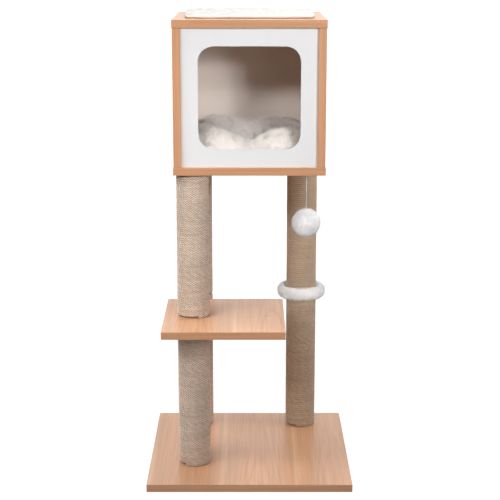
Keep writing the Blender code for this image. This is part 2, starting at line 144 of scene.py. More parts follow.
@dataclass
class Surface:
    """A mesh as arrays.

    Attributes:
        points: One row of three coordinates for each point.
        faces: Arrays of point numbers, each for faces with the same number of corners.
        values: Numbers or vectors kept at the points, by the name that materials read.
    """

    points: Array
    faces: list[Array]
    values: dict[str, Array] = field(default_factory=dict)

    def joined(self, other: "Surface") -> "Surface":
        """Puts another surface with the same values beside this one."""
        start = len(self.points)
        return Surface(
            np.concatenate([self.points, other.points]),
            self.faces + [faces + start for faces in other.faces],
            {name: np.concatenate([kept, other.values[name]]) for name, kept in self.values.items()},
        )

    def triangles(self) -> Array:
        """Every face cut into triangles, as a fan from its first corner."""
        parts = [
            faces[:, (0, corner, corner + 1)]
            for faces in self.faces
            for corner in range(1, faces.shape[1] - 1)
        ]
        return np.concatenate(parts)

    def edges(self) -> tuple[Array, Array, Array]:
        """The first corner of every triangle, and the two edges that leave it."""
        first, second, third = (self.points[numbers] for numbers in self.triangles().T)
        return first, second - first, third - first

    def directions(self) -> Array:
        """The skin's direction at each point: the mean of its triangles' directions, by their area."""
        turned = np.cross(*self.edges()[1:])
        total = np.zeros_like(self.points)
        for numbers in self.triangles().T:
            np.add.at(total, numbers, turned)
        return unit(total)

    def piece(self, name: str, material: Material | None = None) -> Piece:
        """Makes the scene object.

        Args:
            name: The object's name.
            material: Its finish.

        Returns:
            The new object, at the origin.
        """
        mesh = bpy.data.meshes.new(name)
        sizes = np.concatenate([np.full(len(faces), faces.shape[1]) for faces in self.faces])
        corners = np.concatenate([faces.ravel() for faces in self.faces])
        mesh.vertices.add(len(self.points))
        mesh.vertices.foreach_set("co", self.points.astype(np.float32).ravel())
        mesh.loops.add(len(corners))
        mesh.loops.foreach_set("vertex_index", corners.astype(np.int32))
        mesh.polygons.add(len(sizes))
        starts = np.concatenate([[0], np.cumsum(sizes)[:-1]])
        mesh.polygons.foreach_set("loop_start", starts.astype(np.int32))
        mesh.polygons.foreach_set("use_smooth", np.ones(len(sizes), bool))
        for key, numbers in self.values.items():
            kind, part = ("FLOAT_VECTOR", "vector") if numbers.ndim == 2 else ("FLOAT", "value")
            attribute = mesh.attributes.new(key, kind, "POINT")
            attribute.data.foreach_set(part, numbers.astype(np.float32).ravel())
        mesh.update(calc_edges=True)
        mesh.validate()
        if material is not None:
            mesh.materials.append(material)
        return placed(name, mesh)


def walls(rows: int, columns: int, closed: bool = False) -> Array:
    """Faces between neighbouring rings of points, and from the last to the first where closed."""
    here = np.arange(columns)
    after = np.roll(here, -1)
    start = (np.arange(rows if closed else rows - 1) * columns)[:, None]
    follow = (start + columns) % (rows * columns)
    return np.stack([start + here, start + after, follow + after, follow + here], -1).reshape(-1, 4)


def closed_shell(rings: Array, first: Array, last: Array) -> Surface:
    """A closed skin over rings of points, with a pole before the first and after the last.

    Seen against the way the rings advance, their points turn anticlockwise, and the faces then
    point outwards.

    Args:
        rings: Points in the shape (rings, points in a ring, 3).
        first: The pole that closes the first ring.
        last: The pole that closes the last ring.

    Returns:
        The surface, with the two poles as its last two points.
    """
    rows, columns = rings.shape[:2]
    here = np.arange(columns)
    after = np.roll(here, -1)
    low = np.full(columns, rows * columns)
    end = (rows - 1) * columns
    caps = [np.stack([low, after, here], -1), np.stack([low + 1, end + here, end + after], -1)]
    points = np.concatenate([rings.reshape(-1, 3), [first, last]])
    return Surface(points, [walls(rows, columns), np.concatenate(caps)])


def closed_ring(rings: Array) -> Surface:
    """A skin over rings of points that follow a closed path, as on a tyre."""
    return Surface(rings.reshape(-1, 3), [walls(*rings.shape[:2], closed=True)])


@dataclass(frozen=True)
class Yarn:
    """Strands laid into a rope or string.

    Attributes:
        radius: Outer radius at a strand's crest.
        strands: Number of strands.
        lay: Length of rope in which a strand goes once round it.
        groove: Depth of the valley between two strands, as a share of the radius.
        facets: Faces across one strand.
        press: Power of the section's outline: 2 is round, more is pressed square by neighbours.
    """

    radius: float
    strands: int
    lay: float
    groove: float
    facets: int = 3
    press: float = 2.0

    def rings(self, path: Array, outward: Array, phase: Shares, taper: Shares) -> tuple[Array, Array, Array]:
        """Works out the rope's skin along a path.

        A point lies at radius * (1 - groove * (1 - crest)) from the path, where crest is the sine of
        its angle across a strand. The strands turn once for every lay of rope, and a pressed rope's
        outline is a rounded square.

        Args:
            path: The centreline's points.
            outward: A direction at each point that isn't along the path.
            phase: Extra turn of the section at each point, in radians.
            taper: Share of the full radius at each point.

        Returns:
            The rings of points, their yarn coordinates and their crests.
        """
        tangent = unit(np.gradient(path, axis=0))
        away = square_to(outward, tangent)
        across = np.cross(tangent, away)
        steps = np.linalg.norm(np.diff(path, axis=0), axis=-1)
        along = np.concatenate([[0.0], np.cumsum(steps)])
        columns = self.strands * self.facets
        own = evenly_round(columns)
        crest = np.abs(np.sin(own * self.strands / 2.0))
        turn = (math.tau * along / self.lay + phase)[:, None] + own
        tapered = np.broadcast_to(taper, along.shape)
        reach = self.radius * np.multiply.outer(tapered, 1.0 - self.groove * (1.0 - crest))
        reach = (reach * rounded_square(turn, self.press))[..., None]
        cosine, sine = np.cos(turn)[..., None], np.sin(turn)[..., None]
        rings = path[:, None] + reach * (cosine * away[:, None] + sine * across[:, None])
        place = np.stack(np.broadcast_arrays(np.cos(own), np.sin(own), along[:, None]), -1)
        return rings, place.reshape(-1, 3), np.broadcast_to(crest, turn.shape).ravel()

    def laid(self, path: Array, outward: Array, phase: Shares = 0.0, taper: Shares = 1.0) -> Surface:
        """The rope with its two cut ends closed; the arguments are those of rings."""
        rings, place, crest = self.rings(path, outward, phase, taper)
        rope = closed_shell(rings, path[0], path[-1])
        ends = UP * place[[0, -1], 2:]
        rope.values = {
            "yarn": np.concatenate([place, ends]),
            "crest": np.concatenate([crest, [0.0, 0.0]]),
        }
        return rope

    def knot(self, centre: Point, size: float) -> Surface:
        """A tight knot that fills a ball.

        Its line winds three times through a ring's hole while it goes twice round the ring.

        Args:
            centre: The ball's centre.
            size: The ball's radius.

        Returns:
            The closed loop of yarn.
        """
        points = 96
        share = np.arange(points) / points * math.tau
        ring, small, thick = 0.44 * size, 0.27 * size, 0.29 * size
        outward = spokes(2 * share, np.cos(3 * share), np.sin(3 * share))
        path = np.array(centre) + ring * spokes(2 * share) + small * outward
        looped, sides = (np.concatenate([line[-1:], line, line[:1]]) for line in (path, outward))
        rings, place, crest = self.rings(looped, sides, 0.0, thick / self.radius)
        columns = rings.shape[1]
        knot = closed_ring(rings[1:-1])
        knot.values = {"yarn": place[columns:-columns], "crest": crest[columns:-columns]}
        return knot


# Pile


def nearest(points: Array, centres: Array) -> Array:
    """The number of the nearest centre for each point, found in blocks that fit in memory."""
    blocks = np.array_split(points, max(1, len(points) * len(centres) // 4_000_000))
    square = (centres**2).sum(-1)
    return np.concatenate([(square - 2.0 * block @ centres.T).argmin(-1) for block in blocks])


def scattered(skin: Surface, count: int, lowest: float, rng: Rng) -> tuple[Array, Array]:
    """Spreads points evenly over a skin, except where it faces down.

    Args:
        skin: The skin.
        count: Number of points.
        lowest: Smallest upward part of a face's direction that still gets points.
        rng: Source of the random values.

    Returns:
        The points and the skin's direction at each.
    """
    first, along, across = skin.edges()
    turned = np.cross(along, across)
    direction = unit(turned)
    weight = np.linalg.norm(turned, axis=-1) * (direction[:, 2] > lowest)
    chosen = rng.choice(len(weight), count, p=weight / weight.sum())
    shares = rng.random((2, count))
    a, b = np.where(shares.sum(0) > 1.0, 1.0 - shares, shares)[..., None]
    return first[chosen] + a * along[chosen] + b * across[chosen], direction[chosen]


@dataclass(frozen=True)
class Pile:
    """The fibres of a plush, gathered in tufts.

    Attributes:
        length: Root to tip.
        width: Thickness at the root.
        joints: Bends between root and tip.
        lean: How far a tuft leans over, as a share of its length.
        stray: How far a fibre goes its own way.
        tuft: Distance between two tufts.
        gather: Share of the way that fibre tips go to their tuft's tip.
        droop: How far a tip sinks, as a share of the length.
        shortest: Length of the shortest fibre, as a share.
        tuft_tone: Share of a fibre's tone that it has from its tuft.
        slimming: How much thinner it gets towards the tip, as a share.
    """

    length: float
    width: float
    joints: int
    lean: float
    stray: float
    tuft: float
    gather: float
    droop: float = 0.0

    shortest: ClassVar[float] = 0.72
    tuft_tone: ClassVar[float] = 0.65
    slimming: ClassVar[float] = 0.75

    def tips(self, roots: Array, normals: Array, reach: Shares, rng: Rng) -> tuple[Array, Array]:
        """Finds where each fibre ends, and its tone between 0 and 1, which is near that of its tuft.

        A fibre heads along its normal, plus its tuft's lean, plus a stray part. Its tip then moves
        towards the mean of its tuft's tips, and sinks. The arguments are those of grown.
        """
        count = len(roots)
        x, y, z = np.ptp(roots, axis=0)
        half_box = float(x * y + y * z + z * x)
        spacing = max(1, round(count * self.tuft**2 / half_box))
        tufts = roots[rng.permutation(count)[: max(2, count // spacing)]]
        owner = nearest(roots, tufts)
        sway = square_to(rng.normal(size=(len(tufts), 3))[owner], normals)
        heading = unit(normals + self.lean * sway + self.stray * rng.normal(size=(count, 3)))
        lengths = self.length * reach * rng.uniform(self.shortest, 1.0, count)
        tips = roots + heading * lengths[:, None]
        members = np.maximum(np.bincount(owner, minlength=len(tufts)), 1)
        centres = np.stack([np.bincount(owner, tips[:, axis], len(tufts)) for axis in range(3)], -1)
        centres /= members[:, None]
        tips = tips + (centres[owner] - tips) * (self.gather * rng.uniform(0.5, 1.0, count))[:, None]
        tips[:, 2] -= self.droop * lengths
        shared = self.tuft_tone * rng.random(len(tufts))[owner]
        return tips, shared + (1.0 - self.tuft_tone) * rng.random(count)

    def grown(self, roots: Array, normals: Array, reach: Shares, rng: Rng) -> Surface:
        """Grows the fibres as slim closed spikes.

        A fibre's line is a quadratic curve from root to tip that starts along the normal, and its
        three-sided section shrinks towards the tip.

        Args:
            roots: Where the fibres start.
            normals: The skin's direction there.
            reach: Share of the full length for each fibre.
            rng: Source of the random values.

        Returns:
            The fibres, with the values along, from 0 at the root to 1, tone and skin. A shorter
            fibre has a darker tone, as painted shade for fibres low in the pile.
        """
        tips, tone = self.tips(roots, normals, reach, rng)
        count = len(roots)
        span = np.linalg.norm(tips - roots, axis=-1, keepdims=True)
        share = np.linspace(0.0, 1.0, self.joints + 2)[:-1]
        line = (
            np.multiply.outer((1 - share) ** 2, roots)
            + np.multiply.outer(2 * share * (1 - share), roots + normals * span * 0.5)
            + np.multiply.outer(share**2, tips)
        )
        heading = unit(tips - roots)
        side = unit(np.cross(heading, rng.normal(size=(count, 3))))
        corner = evenly_round(3)
        section = np.multiply.outer(np.cos(corner), side)
        section += np.multiply.outer(np.sin(corner), np.cross(heading, side))
        thick = self.width / 2 * (1.0 - self.slimming * share)
        rings = line[:, None] + thick[:, None, None, None] * section[None]
        rows = len(share)
        tip = rows * 3
        points = np.concatenate([rings.reshape(tip, count, 3), tips[None]]).swapaxes(0, 1)
        a, b, c = tip - 3, tip - 2, tip - 1
        spikes = np.array([[tip, a, b], [tip, b, c], [tip, c, a], [2, 1, 0]])
        offset = (np.arange(count) * (tip + 1))[:, None, None]
        faces = [(offset + kind).reshape(-1, kind.shape[1]) for kind in (spikes, walls(rows, 3))]
        values = {
            "along": np.tile([*np.repeat(share, 3), 1.0], count),
            # Painted shade: a fibre's tone falls with its length, so short fibres come out darker.
            "tone": np.repeat(tone * reach, tip + 1),
            "skin": np.repeat(normals, tip + 1, axis=0),
        }
        return Surface(points.reshape(-1, 3), faces, values)

    @staticmethod
    def ground(core: Surface, along: float) -> None:
        """Gives a core the values of the fibres that stand on it, at a place from root to tip, so it takes
        part of the painted root shade.
        """
        count = len(core.points)
        core.values = {
            "along": np.full(count, along),
            "tone": np.full(count, 0.5),
            "skin": core.directions(),
        }


# Padding


@dataclass(frozen=True)
class Pad:
    """A stuffed pad that lies on its flat underside.

    Attributes:
        centre: Middle of the underside.
        width: Size from left to right.
        depth: Size from front to back.
        rim: Thickness at the rim.
        bulge: How far the rim rounds outwards.
        squareness: Power of the rounded rectangle that is its outline.
        pull: How far the sides pull in between the corners, as a share.
    """

    centre: Point
    width: float
    depth: float
    rim: float
    bulge: float
    squareness: float = 6.0
    pull: float = 0.012

    around: ClassVar[int] = 128
    top_rows: ClassVar[int] = 22

    def height(self, u: Array, v: Array) -> Array:
        """Height of the stuffing at a place from -1 to 1, from left to right and front to back."""
        raise NotImplementedError

    def skin(self) -> Surface:
        """The closed skin: underside, half-round rim and top.

        The outline is a rounded square, less the pull between corners. The top is
        rim + (height - rim) * sqrt(1 - s^6), where s is the share of the way to the rim.
        """
        angle = evenly_round(self.around)
        cosine, sine = np.cos(angle), np.sin(angle)
        reach = rounded_square(angle, self.squareness) * (1.0 - self.pull * np.cos(2 * angle) ** 2)
        u, v = reach * cosine, reach * sine

        below = np.linspace(0.1, 1.0, 8)
        lift = np.linspace(-np.pi / 2, np.pi / 2, 9)[1:-1]
        above = np.linspace(1.0, 0.04, self.top_rows)
        share = np.concatenate([below, np.ones_like(lift), above])
        out = np.concatenate([0.0 * below, np.cos(lift), 0.0 * above])
        rise = np.concatenate([0.0 * below, (1 + np.sin(lift)) / 2, np.ones_like(above)])
        top = np.concatenate([0.0 * below, 0.0 * lift, np.sqrt(1.0 - above**6)])

        across, along = np.multiply.outer(share, u), np.multiply.outer(share, v)
        round_x, round_y = (np.multiply.outer(out, part) * self.bulge for part in (cosine, sine))
        x = self.centre[0] + across * self.width / 2 + round_x
        y = self.centre[1] + along * self.depth / 2 + round_y
        crown = (self.height(across, along) - self.rim) * top[:, None]
        z = self.centre[2] + self.rim * rise[:, None] + crown
        low = np.array(self.centre)
        middle = self.height(np.zeros(1), np.zeros(1))[0]
        return closed_shell(np.stack([x, y, z], -1), low, low + UP * middle)


class RoofPad(Pad):
    """A thin pad that is highest in its middle.

    Attributes:
        crown: Height of the middle, in times the rim.
        fall: How much of that is lost at a distance of 1 from the middle.
    """

    crown: ClassVar[float] = 1.55
    fall: ClassVar[float] = 0.22

    def height(self, u: Array, v: Array) -> Array:
        """A shallow crown that falls with the square of the distance."""
        return self.rim * (self.crown - self.fall * (u * u + v * v))


@dataclass(frozen=True)
class BedPad(Pad):
    """A bed that is hollow inside a soft rim.

    Attributes:
        floor: Thickness in the hollow.
        crest: Thickness at the rim's crest.
        crest_at: Where the crest is, as a share of the way out.
        spread: How wide the crest is, as a share.
        dip: How far the middle of the front is pressed down.
        dip_width: Half the width of that dip, as a share.
        uneven: How far the back of the rim rises and falls.
        plump: Where the rim is plumper, and how widely.
        slack: Where the rim is slack, and how widely.
    """

    floor: float = 0.010
    crest: float = 0.062
    crest_at: float = 0.76
    spread: float = 0.34
    dip: float = 0.036
    dip_width: float = 0.28
    uneven: float = 0.007
    plump: Point = (-0.55, 0.65, 0.10)
    slack: Point = (0.05, 0.70, 0.12)

    def height(self, u: Array, v: Array) -> Array:
        """The floor, plus a bell over the rim, less the dip at the front.

        The rim is plumper at its back left and slack in the middle of its back.
        """
        ring = (u**4 + v**4) ** 0.25
        bell = np.exp(-(((ring - self.crest_at) / self.spread) ** 2))
        dip = self.dip * np.maximum(0.0, -v) * np.exp(-((u / self.dip_width) ** 2))
        plump, slack = (
            self.uneven * np.exp(-((u - at_u) ** 2 + (v - at_v) ** 2) / spread)
            for at_u, at_v, spread in (self.plump, self.slack)
        )
        return self.floor + (self.crest - self.floor) * bell - dip + plump - 0.5 * slack


def carried_out(piece: Piece) -> bpy.types.Mesh:
    """The piece's mesh with its modifiers carried out."""
    depsgraph = bpy.context.evaluated_depsgraph_get()
    return bpy.data.meshes.new_from_object(piece.evaluated_get(depsgraph))


def mesh_surface(mesh: bpy.types.Mesh) -> Surface:
    """Reads a mesh back as arrays, in triangles."""
    points = np.empty(len(mesh.vertices) * 3, np.float32)
    mesh.vertices.foreach_get("co", points)
    mesh.calc_loop_triangles()
    corners = np.empty(len(mesh.loop_triangles) * 3, np.int32)
    mesh.loop_triangles.foreach_get("vertices", corners)
    return Surface(points.reshape(-1, 3).astype(float), [corners.reshape(-1, 3)])


@dataclass(frozen=True)
class Stuffing:
    """How a pad is filled: a short cloth simulation that blows up its cover.

    Attributes:
        voxel: Size of the even mesh that the cover is simulated on.
        pressure: Push of the filling.
        most: Furthest that a point may move.
        frames: Length of the simulation.
    """

    voxel: float
    pressure: float = 4.0
    most: float = 0.005
    frames: int = 20

    def fill(self, skin: Surface, name: str) -> Surface:
        """Blows the cover up.

        Args:
            skin: The cover as it was cut.
            name: The name for the work piece.

        Returns:
            The filled cover.
        """
        piece = skin.piece(name)
        remesh = piece.modifiers.new("even_mesh", "REMESH")
        remesh.mode = "VOXEL"
        remesh.voxel_size = self.voxel
        piece.data = carried_out(piece)
        piece.modifiers.clear()
        self.simulate(piece, mesh_surface(piece.data).points)
        refine = piece.modifiers.new("refine", "SUBSURF")
        refine.levels = refine.render_levels = 1
        filled = mesh_surface(carried_out(piece))
        bpy.data.objects.remove(piece)
        return filled

    def simulate(self, piece: Piece, rest: Array) -> None:
        """Runs the cloth and moves the piece's points, none further than the most allowed."""
        cloth = piece.modifiers.new("cover", "CLOTH")
        cloth.settings.use_pressure = True
        cloth.settings.uniform_pressure_force = self.pressure
        cloth.settings.effector_weights.gravity = 0.0
        cloth.point_cache.frame_start = 1
        cloth.point_cache.frame_end = self.frames
        scene = bpy.context.scene
        for frame in range(1, self.frames + 1):
            scene.frame_set(frame)
        moved = mesh_surface(carried_out(piece)).points - rest
        far = np.linalg.norm(moved, axis=-1, keepdims=True)
        settled = rest + moved * np.minimum(1.0, self.most / np.maximum(far, 1e-9))
        piece.modifiers.clear()
        piece.data.vertices.foreach_set("co", settled.astype(np.float32).ravel())
        piece.data.update()
        scene.frame_set(1)


# Node graphs


class Graph:
    """A node tree that is written as plain calls, each of which gives the new node's output."""

    def __init__(self, tree: bpy.types.NodeTree) -> None:
        """Keeps the tree to draw in."""
        self.tree = tree

    def node(self, kind: str, **settings: object) -> bpy.types.Node:
        """Adds a node of Blender's named type and sets its properties."""
        node = self.tree.nodes.new(kind)
        for name, value in settings.items():
            setattr(node, name, value)
        return node

    def feed(self, socket: Socket, value: Value) -> None:
        """Links an output to a socket, or sets the socket to a constant."""
        if isinstance(value, Socket):
            self.tree.links.new(value, socket)
        elif socket.type == "RGBA" and len(value) == 3:
            socket.default_value = (*value, 1.0)
        else:
            socket.default_value = value

    def add(self, kind: str, given: Mapping[Key, Value], output: Key = 0, **settings: object) -> Socket:
        """Adds a node and feeds it.

        Args:
            kind: Blender's name of the node type.
            given: Values for its inputs, by number or name.
            output: Number or name of the output to give back.
            **settings: Properties of the node.

        Returns:
            The output.
        """
        node = self.node(kind, **settings)
        for key, value in given.items():
            self.feed(node.inputs[key], value)
        return node.outputs[output]

    def calc(self, operation: str, *values: Value) -> Socket:
        """A Math node on one, two or three numbers."""
        return self.add("ShaderNodeMath", dict(enumerate(values)), operation=operation)

    def times(self, product: Value, *factors: Value) -> Socket:
        """Numbers multiplied one after another."""
        for factor in factors:
            product = self.calc("MULTIPLY", product, factor)
        return product

    def scaled(self, where: Value, scale: float | Sequence[float]) -> Socket:
        """A vector times one factor, or times one for each axis."""
        factors = scale if isinstance(scale, Sequence) else (scale,) * 3
        return self.add("ShaderNodeVectorMath", {0: where, 1: factors}, operation="MULTIPLY")

    def noise(
        self, where: Value, scale: float | Sequence[float], detail: float = 2.0, rough: float = 0.5
    ) -> Socket:
        """Noise from 0 to 1, with the given number of marks in a metre."""
        given = {"Vector": self.scaled(where, scale), "Scale": 1.0, "Detail": detail, "Roughness": rough}
        return self.add("ShaderNodeTexNoise", given)

    def band(self, value: Value, low: float, high: float, start: float = 0.0, end: float = 1.0) -> Socket:
        """Takes a value from low to high, smoothly and held at the ends, to start to end."""
        given = dict(enumerate((value, low, high, start, end)))
        return self.add("ShaderNodeMapRange", given, interpolation_type="SMOOTHSTEP")

    def mixed(self, share: Value, first: Value, second: Value) -> Socket:
        """One number between two others."""
        return self.add("ShaderNodeMix", {0: share, 2: first, 3: second}, data_type="FLOAT")

    def tinted(self, share: Value, first: Value, second: Value) -> Socket:
        """One colour between two others."""
        return self.add("ShaderNodeMix", {0: share, 6: first, 7: second}, 2, data_type="RGBA")

    def shaded(self, colour: Value, factor: Value) -> Socket:
        """A colour times a number."""
        return self.add("ShaderNodeVectorMath", {0: colour, "Scale": factor}, operation="SCALE")

    def split(self, vector: Socket) -> list[Socket]:
        """The three parts of a vector."""
        node = self.node("ShaderNodeSeparateXYZ")
        self.feed(node.inputs[0], vector)
        return list(node.outputs)

    def combined(self, x: Value, y: Value, z: Value) -> Socket:
        """A vector from three numbers."""
        return self.add("ShaderNodeCombineXYZ", dict(enumerate((x, y, z))))

    def coordinates(self, kind: str = "Object") -> Socket:
        """The piece's own coordinates, or another kind of them."""
        return self.add("ShaderNodeTexCoord", {}, kind)

    def value_of(self, name: str, part: str = "Fac") -> Socket:
        """A number that the mesh keeps at its points, or with the part Vector a vector."""
        return self.add("ShaderNodeAttribute", {}, part, attribute_name=name)

    def ray(self, kind: str) -> Socket:
        """1 for light rays of a kind, else 0."""
        return self.add("ShaderNodeLightPath", {}, f"Is {kind} Ray")

    def seen_directly(self) -> Socket:
        """1 where the camera looks, also through clear pieces, else 0."""
        return self.calc("MAXIMUM", self.ray("Camera"), self.ray("Transmission"))

    def bump(self, height: Value, depth: float) -> Socket:
        """A normal for relief of the given depth where height is 1."""
        return self.add("ShaderNodeBump", {"Height": height, "Distance": depth})

    def principled(self, **values: Value) -> Socket:
        """A Principled shader; its sockets go by their names in small letters with underscores."""
        shader = self.node("ShaderNodeBsdfPrincipled")
        sockets = {socket.name.lower().replace(" ", "_"): socket for socket in shader.inputs}
        for name, value in values.items():
            self.feed(sockets[name], value)
        return shader.outputs[0]

    def surface(self, shader: Socket, kind: str = "ShaderNodeOutputMaterial") -> None:
        """Ends the tree in a shader."""
        self.feed(self.node(kind).inputs["Surface"], shader)


def emptied(owner: Material | bpy.types.World) -> Graph:
    """The graph of a material or world, with nothing in it."""
    owner.use_nodes = True
    owner.node_tree.nodes.clear()
    return Graph(owner.node_tree)


def new_material(name: str) -> tuple[Material, Graph]:
    """A material with an empty node tree, and the graph to draw in it."""
    material = bpy.data.materials.new(name)
    return material, emptied(material)


class SharedEffect:
    """A shader node group that is built once and placed in several materials."""

    name: ClassVar[str]
    inputs: ClassVar[dict[str, str]]
    outputs: ClassVar[dict[str, str]]

    def draw(self, graph: Graph, given: Sockets) -> Sockets:
        """Draws the group's inside.

        Args:
            graph: The group's graph.
            given: The group's inputs by name.

        Returns:
            What each output gives.
        """
        raise NotImplementedError

    def tree(self) -> bpy.types.NodeTree:
        """The group's node tree, built on first use."""
        found = bpy.data.node_groups.get(self.name)
        if found is not None:
            return found
        tree = bpy.data.node_groups.new(self.name, "ShaderNodeTree")
        for way, sockets in (("INPUT", self.inputs), ("OUTPUT", self.outputs)):
            for name, kind in sockets.items():
                tree.interface.new_socket(name, in_out=way, socket_type=kind)
        graph = Graph(tree)
        entry = graph.node("NodeGroupInput")
        result = graph.node("NodeGroupOutput")
        for name, value in self.draw(graph, {name: entry.outputs[name] for name in self.inputs}).items():
            graph.feed(result.inputs[name], value)
        return tree

    def place(self, graph: Graph, **given: Value) -> Sockets:
        """Places the group in a material, feeds its inputs and gives its outputs by name."""
        node = graph.node("ShaderNodeGroup", node_tree=self.tree())
        for name, value in given.items():
            graph.feed(node.inputs[name], value)
        return {name: node.outputs[name] for name in self.outputs}


NUMBER = "NodeSocketFloat"
VECTOR = "NodeSocketVector"
COLOUR = "NodeSocketColor"


class WoodPrint(SharedEffect):
    """Beech as it is printed on laminate: planks side by side, each with its own arched grain.

    The place holds the distance across the grain, along it, and a depth that picks another print.
    Across a plank the grain's phase is the square of the distance from its middle plus a share of
    the length, which gives arches in the middle and straight lines at its sides.

    Attributes:
        plank: Width of a printed plank.
        arch: Square of the distance from a plank's middle to its first line.
        rise: Distance between two arches along the grain.
        waver: How far the lines swing sideways.
        drift: How many lines the spacing drifts by.
        sharpness: Power that makes the lines narrow.
        line_weight: How much of the dark colour a line takes.
        stripe: Where the pale stripe beside a joint starts to fade and where it ends.
        stripe_weight: How much of the pale colour it takes.
    """

    name = "wood_print"
    inputs = {
        "place": VECTOR,
        "joint_at": NUMBER,
        "edge": NUMBER,
        "ground": COLOUR,
        "dark": COLOUR,
        "pale": COLOUR,
    }
    outputs = {"colour": COLOUR, "pores": NUMBER}

    plank: ClassVar[float] = 0.155
    arch: ClassVar[float] = 0.00060
    rise: ClassVar[float] = 0.150
    waver: ClassVar[float] = 0.010
    drift: ClassVar[float] = 1.2
    sharpness: ClassVar[float] = 3.0
    line_weight: ClassVar[float] = 0.40
    stripe: ClassVar[tuple[float, float]] = (0.0020, 0.0072)
    stripe_weight: ClassVar[float] = 0.50

    def draw(self, graph: Graph, given: Sockets) -> Sockets:
        """Draws planks, arches, streaks and pores."""
        place = given["place"]
        across, along, _ = graph.split(place)
        inner = graph.calc("SUBTRACT", 1.0, given["edge"])
        bend = graph.calc("SUBTRACT", graph.noise(place, (9.0, 2.2, 1.0)), 0.5)
        offset = graph.calc("SUBTRACT", across, given["joint_at"])
        bent = graph.calc("MULTIPLY_ADD", graph.times(bend, self.waver), inner, offset)
        centred = graph.calc("SUBTRACT", graph.calc("WRAP", bent, self.plank, 0.0), self.plank / 2)
        square = graph.calc("DIVIDE", graph.times(centred, centred), self.arch)
        phase = graph.calc("MULTIPLY_ADD", along, 1.0 / self.rise, square)
        phase = graph.calc("MULTIPLY_ADD", graph.noise(place, (26.0, 3.0, 1.0)), self.drift, phase)
        wave = graph.calc("SINE", graph.times(phase, math.tau))
        lines = graph.calc("POWER", graph.calc("MULTIPLY_ADD", wave, 0.5, 0.5), self.sharpness)
        strength = graph.band(graph.noise(place, (24.0, 2.4, 2.0)), 0.32, 0.68, 0.15, 1.0)
        rings = graph.times(lines, strength, inner)

        streaks = graph.noise(place, (190.0, 3.2, 5.0), 3.0, 0.55)
        hairs = graph.noise(place, (900.0, 14.0, 9.0))
        clouds = graph.noise(place, (14.0, 2.5, 3.0))
        gap = graph.calc("SUBTRACT", self.plank / 2, graph.calc("ABSOLUTE", centred))
        stripe = graph.times(graph.band(gap, *self.stripe, 1.0, 0.0), inner)

        colour = graph.tinted(graph.times(rings, self.line_weight), given["ground"], given["dark"])
        colour = graph.tinted(graph.times(stripe, self.stripe_weight), colour, given["pale"])
        fade = graph.times(
            graph.band(streaks, 0.30, 0.70, 0.90, 1.07),
            graph.band(hairs, 0.25, 0.75, 0.965, 1.03),
            graph.band(clouds, 0.25, 0.75, 0.95, 1.04),
        )
        return {"colour": graph.shaded(colour, fade), "pores": graph.band(hairs, 0.36, 0.46)}


class Smudges(SharedEffect):
    """Faint marks from handling and dust: a soft mask from 0 to 1."""

    name = "smudges"
    inputs = {"place": VECTOR}
    outputs = {"mask": NUMBER}

    fine_share: ClassVar[float] = 0.35

    def draw(self, graph: Graph, given: Sockets) -> Sockets:
        """Draws broad clouds broken by finer ones."""
        broad = graph.noise(given["place"], 9.0, 3.0, 0.6)
        fine = graph.noise(given["place"], 70.0)
        broad = graph.times(broad, 1.0 - self.fine_share)
        return {"mask": graph.band(graph.calc("MULTIPLY_ADD", fine, self.fine_share, broad), 0.38, 0.66)}


class TwistedFibres(SharedEffect):
    """Fibres of a laid yarn, drawn in the yarn's own coordinates, with the deep colour painted into the
    valleys as shade.
    """

    name = "twisted_fibres"
    inputs = {
        "yarn": VECTOR,
        "crest": NUMBER,
        "ground": COLOUR,
        "deep": COLOUR,
        "straw": COLOUR,
        "coarse": NUMBER,
    }
    outputs = {"colour": COLOUR, "height": NUMBER}

    def draw(self, graph: Graph, given: Sockets) -> Sockets:
        """Draws fibres and straws, with painted shade in the valleys between the strands."""
        around_x, around_y, along = graph.split(given["yarn"])
        place = graph.combined(around_x, around_y, graph.times(along, given["coarse"]))
        fibres = graph.noise(place, (9.0, 9.0, 0.55), 3.0, 0.6)
        straws = graph.noise(place, (4.0, 4.0, 0.16), 2.0, 0.6)
        batches = graph.noise(place, (0.2, 0.2, 0.012), 1.0)
        colour = graph.tinted(graph.band(straws, 0.50, 0.72), given["ground"], given["straw"])
        # Painted shade: away from the crests the colour goes over to the deep colour, as the valleys between
        # strands would be shaded.
        valley = graph.band(given["crest"], 0.05, 0.62, 0.92, 0.0)
        colour = graph.tinted(valley, colour, given["deep"])
        fade = graph.times(
            graph.band(fibres, 0.25, 0.75, 0.80, 1.14),
            graph.band(batches, 0.3, 0.7, 0.86, 1.08),
        )
        return {"colour": graph.shaded(colour, fade), "height": fibres}


class PileTint(SharedEffect):
    """Colour of plush: painted shade that darkens it towards the roots, lighter at the tips, and a tone that
    differs tuft by tuft.
    """

    name = "pile_tint"
    inputs = {
        "along": NUMBER,
        "tone": NUMBER,
        "place": VECTOR,
        "root": COLOUR,
        "tip": COLOUR,
        "mottle": NUMBER,
    }
    outputs = {"colour": COLOUR}

    def draw(self, graph: Graph, given: Sockets) -> Sockets:
        """Draws the painted shade from the dark roots to the light tips."""
        colour = graph.tinted(graph.calc("POWER", given["along"], 0.6), given["root"], given["tip"])
        clouds = graph.noise(given["place"], 38.0)
        dull = graph.times(graph.calc("SUBTRACT", 1.0, given["tone"]), given["mottle"])
        fade = graph.times(graph.calc("SUBTRACT", 1.0, dull), graph.band(clouds, 0.3, 0.7, 0.97, 1.0))
        return {"colour": graph.shaded(colour, fade)}


# Finishes


class BoardLie(Enum):
    """How a board lies: level with its grain from front to back, or upright with it vertical."""

    LEVEL = "level"
    UPRIGHT = "upright"


class Finish:
    """A material that is the same for every piece that has it."""

    def shader(self, graph: Graph) -> Socket:
        """Draws the material up to its shader."""
        raise NotImplementedError

    def material(self, name: str) -> Material:
        """Makes the material."""
        material, graph = new_material(name)
        graph.surface(self.shader(graph))
        return material


